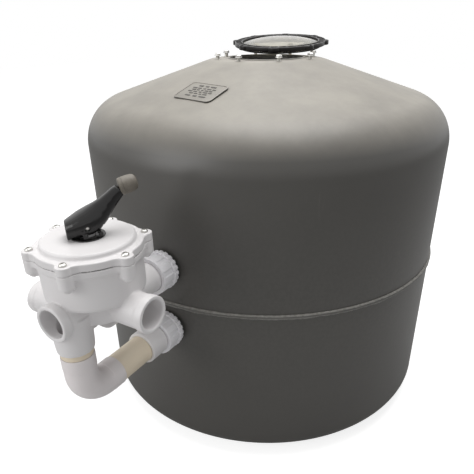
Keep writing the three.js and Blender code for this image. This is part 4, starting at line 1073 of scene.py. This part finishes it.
def make_union(level, z, body):
    place = at(0, 0, z) @ ALONG_MINUS_Y
    nut = ribbed("nut", NUT_R, 1.9, NUT_BACK + 5, NUT_FRONT - 0.1, 10, 1.6, 31.6)
    skirt = ribbed("skirt", NUT_R + 1.1, 1.0, NUT_BACK + 0.1, NUT_BACK + 5.4, 20, 1.2, 31.6)
    lip = tube(27.6, 34.5, NUT_FRONT - 5.9, NUT_FRONT - 0.1, 96, "lip", 0.8)
    combine(nut, [skirt, lip], "UNION")
    moved(nut, place)
    finished(nut, level + "_nut", NUT_WHITE, body, [level + "_union_nut"], 32)

    back = -high(level + "_bulkhead", "y")
    tail = -low(level + "_bulkhead", "y")
    fitting = ribbed("fitting", NUT_R - 0.2, 1.8, FITTING_BACK, NUT_BACK - 0.5, 20, 1.4, 24)
    bore, root, crest, pitch = 20.1, 29.6, 30.8, 2.6
    turn_start = NUT_BACK - 1
    thread = [(bore, turn_start)]
    while turn_start < tail - pitch:
        thread += [(root, turn_start), (crest, turn_start + 0.9), (crest, turn_start + 1.4),
            (root, turn_start + 2.2)]
        turn_start += pitch
    thread += [(30.2, tail - 0.2), (bore, tail - 0.2)]
    neck = tube(bore, 24.9, back, NUT_BACK - 0.5, 64, "neck", 0.4)
    combine(fitting, [revolve("thread", thread, 72), neck], "UNION")
    moved(fitting, place)
    finished(fitting, level + "_wall_fitting", NUT_WHITE, "root",
        [level + "_bulkhead"], 32)

    seal = moved(tube(20.2, 30.6, tail + 0.35, tail + 2.8, 72, "seal", 0.9), place)
    finished(seal, level + "_ring_seal", GASKET_RUBBER, "root", [level + "_union_o_ring"])

    finished(wall_gasket(z), level + "_wall_seal", GASKET_RUBBER, "root",
        [level + "_wall_gasket"])


def wall_gasket(z, rounds=96):
    """A flat-faced ring whose back follows the curve of the tank's wall."""
    verts, faces = [], []
    for on_wall in (True, False):
        for radius in (25.4, 32.0):
            for k in range(rounds):
                a = TURN * k / rounds
                x, up = radius * math.cos(a), radius * math.sin(a)
                back = math.sqrt((TANK_R + 0.35) ** 2 - x * x) if on_wall else FITTING_BACK - 0.6
                verts.append((x, -back, up + z))
    order = [0, 1, 3, 2]
    for one, two in zip(order, order[1:] + order[:1]):
        faces += bridge(one * rounds, two * rounds, rounds)
    return recalculated(from_lists("gasket", verts, faces))


def swept_tube(path, outer, inner, name, rounds=64):
    """A tube along a path of points in the YZ plane, with flat ends."""
    verts, faces = [], []
    count = len(path)
    directions = []
    for i in range(count):
        before, after = path[max(0, i - 1)], path[min(count - 1, i + 1)]
        directions.append((Vector(after) - Vector(before)).normalized())
    for radius in (outer, inner):
        for point, along in zip(path, directions):
            across = Vector((1, 0, 0))
            up = along.cross(across)
            for k in range(rounds):
                a = TURN * k / rounds
                verts.append(tuple(Vector(point) + radius * (math.cos(a) * across + math.sin(a) * up)))
    block = count * rounds
    for shell_start in (0, block):
        for i in range(count - 1):
            faces += bridge(shell_start + i * rounds, shell_start + (i + 1) * rounds, rounds)
    for end_start in (0, (count - 1) * rounds):
        faces += bridge(end_start, block + end_start, rounds)
    return recalculated(from_lists(name, verts, faces))


def make_pipework():
    make_union("upper", UPPER_Z, "upper_nut")
    make_union("lower", LOWER_Z, "lower_nut")

    collar_front = -low("lower_tailpiece", "y")
    collar_back = NUT_FRONT + GAP
    flange = -high("lower_tailpiece", "y")
    profile = [(20.5, flange + 0.1), (30.9, flange + 0.1), (30.9, flange + 5), (26.9, flange + 5),
        (26.9, collar_back + 0.2), (28.6, collar_back + 0.4), (29.4, collar_back + 3),
        (29.4, collar_front - 2.5), (28.6, collar_front - 0.1), (24.5, collar_front - 0.1),
        (24.5, collar_front - 16.9), (20.5, collar_front - 16.9)]
    tail = moved(revolve("tail", rounded(profile, 0.8, 3), 96), at(0, 0, LOWER_Z) @ ALONG_MINUS_Y)
    finished(tail, "union_tail", VALVE_WHITE, "root", ["lower_tailpiece"])

    pipe = tube(PIPE_R - PIPE_WALL, PIPE_R, -high("lower_pipe", "y"), -low("lower_pipe", "y"), 96,
        "pipe", 0.6)
    finished(moved(pipe, at(0, 0, LOWER_Z) @ ALONG_MINUS_Y), "pipe_run", PIPE_BEIGE, "root",
        ["lower_pipe"])
    stub = tube(PIPE_R - PIPE_WALL, PIPE_R, low("pipe_stub", "z"), high("pipe_stub", "z"), 96, "stub", 0.6)
    leg_y = VALVE_Y - OUTLET_OFFSET
    finished(moved(stub, at(0, leg_y, 0)), "pipe_stub_fine", PIPE_BEIGE, "root",
        ["pipe_stub"])

    top = low("pipe_stub", "z") - GAP
    turn_y, turn_z = leg_y + ELBOW_BEND_R, LOWER_Z + ELBOW_BEND_R
    foot_y = turn_y + ELBOW_LEG
    path = [(0, leg_y, top - (top - turn_z) * t / 6) for t in range(6)]
    for k in range(25):
        a = math.pi + math.pi / 2 * k / 24
        path.append((0, turn_y + ELBOW_BEND_R * math.cos(a), turn_z + ELBOW_BEND_R * math.sin(a)))
    path += [(0, turn_y + ELBOW_LEG * t / 4, LOWER_Z) for t in range(1, 5)]
    inner = PIPE_R - PIPE_WALL - GAP - 3.2
    body = swept_tube(path, ELBOW_R - 0.6, inner, "elbow_body")
    hub_r, spigot_r = ELBOW_R - 0.05, inner + 3.1
    upward, outward = at(0, leg_y, top), at(0, foot_y, LOWER_Z) @ ALONG_MINUS_Y
    hubs = [moved(tube(inner, hub_r, 0.1, 24, 96, "hub", 1.4), at(0, leg_y, top - 24.2)),
        moved(tube(inner, hub_r, 0.1, 22, 96, "hub", 1.4), outward)]
    spigots = [moved(tube(inner, spigot_r, -8, SOCKET_DEPTH, 64, "spigot"), upward),
        moved(tube(inner, spigot_r, -SOCKET_DEPTH, 8, 64, "spigot"), outward)]
    combine(body, hubs + spigots, "UNION")
    finished(body, "elbow_fine", ELBOW_WHITE, "root", ["elbow"], 32)


# ---- drain and the pieces inside ----------------------------------------------------------------


def make_drain():
    z = middle("drain_plug").z
    back = low("drain_plug", "y")
    front = high("drain_plug", "y")
    shoulder = front - 12
    place = at(0, 0, z) @ ALONG_PLUS_Y
    head_side = [(0, shoulder + 0.2), (16.5, shoulder + 0.2), (18.4, shoulder + 1.2),
        (18.4, front - 1.6), (16.8, front - 0.2), (0, front - 0.2)]
    head = revolve("head", head_side, 6)
    stem_side = [(0, back + 0.2), (12.8, back + 0.2), (12.8, shoulder + 1), (0, shoulder + 1)]
    stem = revolve("stem", rounded(stem_side, 0.8), 64)
    combine(head, [stem], "UNION")
    moved(head, place)
    finished(head, "drain_cap", RING_BLACK, "drain", ["drain_plug"], 30)


def dress_carried_nodes():
    """Gives a material to the pieces that are shown as the frame's own solids."""
    white = ["upper_locknut", "lower_locknut", "inlet_riser", "inlet_diffuser", "underdrain_pipe",
        "lateral_hub"]
    white += ["lateral_%d" % (i + 1) for i in range(8)]
    dressed = dict.fromkeys(white, INNER_WHITE)
    dressed.update(rotor=VALVE_WHITE, spider_gasket=GASKET_RUBBER, drain_gasket=GASKET_RUBBER,
        rotor_spring=BOLT_STEEL)
    for node, material in dressed.items():
        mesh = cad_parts[node].data
        mesh.materials.clear()
        mesh.materials.append(material)


# ---- floor, light and camera --------------------------------------------------------------------


FLOOR_WHITE = 0.55
FLOOR_GLOW = 0.78  # what the camera sees added to the floor, so that only the shadow is darker
WORLD_FILL = 0.4  # how strongly the white surroundings light matt surfaces


def make_stage():
    """A matt floor that the camera sees as plain white away from the shadow."""
    floor = moved(box_solid(16000, 16000, 10, "studio_floor"), at(0, 0, -5.5))
    material, tree, shader = new_material("floor_white")
    shader.inputs["Base Color"].default_value = (FLOOR_WHITE, FLOOR_WHITE, FLOOR_WHITE, 1)
    shader.inputs["Roughness"].default_value = 0.9
    shader.inputs["Specular IOR Level"].default_value = 0.0
    shader.inputs["Emission Color"].default_value = (1, 1, 1, 1)
    rays = tree.nodes.new("ShaderNodeLightPath")
    glow = math_node(tree, "MULTIPLY", rays.outputs["Is Camera Ray"], FLOOR_GLOW)
    tree.links.new(glow, shader.inputs["Emission Strength"])
    floor.data.materials.append(material)


def make_world():
    """White to the camera, in reflections and through glass, and dimmer as a lamp."""
    world = bpy.data.worlds.new("studio")
    bpy.context.scene.world = world
    world.use_nodes = True
    tree = world.node_tree
    background = tree.nodes["Background"]
    background.inputs["Color"].default_value = (1, 1, 1, 1)
    rays = tree.nodes.new("ShaderNodeLightPath")
    seen = math_node(tree, "MAXIMUM", rays.outputs["Is Camera Ray"], rays.outputs["Is Transmission Ray"])
    shown = math_node(tree, "MAXIMUM", seen, rays.outputs["Is Glossy Ray"])
    tree.links.new(range_node(tree, shown, 0, 1, WORLD_FILL, 1.0), background.inputs["Strength"])


def area_light(name, place, target, size, power):
    data = bpy.data.lights.new(name, "AREA")
    data.shape = "RECTANGLE"
    data.size, data.size_y = size
    data.energy = power
    lamp = bpy.data.objects.new(name, data)
    lamp.location = place
    lamp.rotation_euler = (Vector(target) - Vector(place)).to_track_quat("-Z", "Y").to_euler()
    bpy.context.scene.collection.objects.link(lamp)


def make_lights():
    area_light("overhead", (0.05, 0.3, 2.9), (0.05, 0.2, 0.6), (2.1, 1.9), 58)
    area_light("front_fill", (-1.3, -3.0, 1.5), (0, -0.4, 0.4), (2.0, 2.0), 34)


CAMERA_PLACE = Vector((0.5077, -0.9715, 0.8125))
CAMERA_PITCH = 0.4694  # radians below level
CAMERA_HEADING = 0.5365
CAMERA_ROLL = 0.0141


def make_camera():
    level = Vector((math.cos(CAMERA_HEADING), math.sin(CAMERA_HEADING), 0))
    ahead = Vector((-math.sin(CAMERA_HEADING), math.cos(CAMERA_HEADING), 0))
    forward = math.cos(CAMERA_PITCH) * ahead - Vector((0, 0, math.sin(CAMERA_PITCH)))
    upright = level.cross(forward)
    right = math.cos(CAMERA_ROLL) * level - math.sin(CAMERA_ROLL) * upright
    up = math.sin(CAMERA_ROLL) * level + math.cos(CAMERA_ROLL) * upright
    data = bpy.data.cameras.new("camera")
    data.sensor_width = 36
    data.lens = 36.76
    data.shift_x = -0.0069
    data.shift_y = 0.0540
    camera = bpy.data.objects.new("camera", data)
    rotation = Matrix((right, up, -forward)).transposed().to_4x4()
    camera.matrix_world = Matrix.Translation(CAMERA_PLACE) @ rotation
    bpy.context.scene.collection.objects.link(camera)
    bpy.context.scene.camera = camera


make_tank()
make_seam_band()
make_name_plate()
make_manhole_bolts()
make_lid()
make_valve_body()
make_valve_cover()
make_cover_screws()
make_lever()
make_pipework()
make_drain()
dress_carried_nodes()
make_stage()
make_world()
make_lights()
make_camera()
bpy.context.scene.view_settings.view_transform = "Standard"
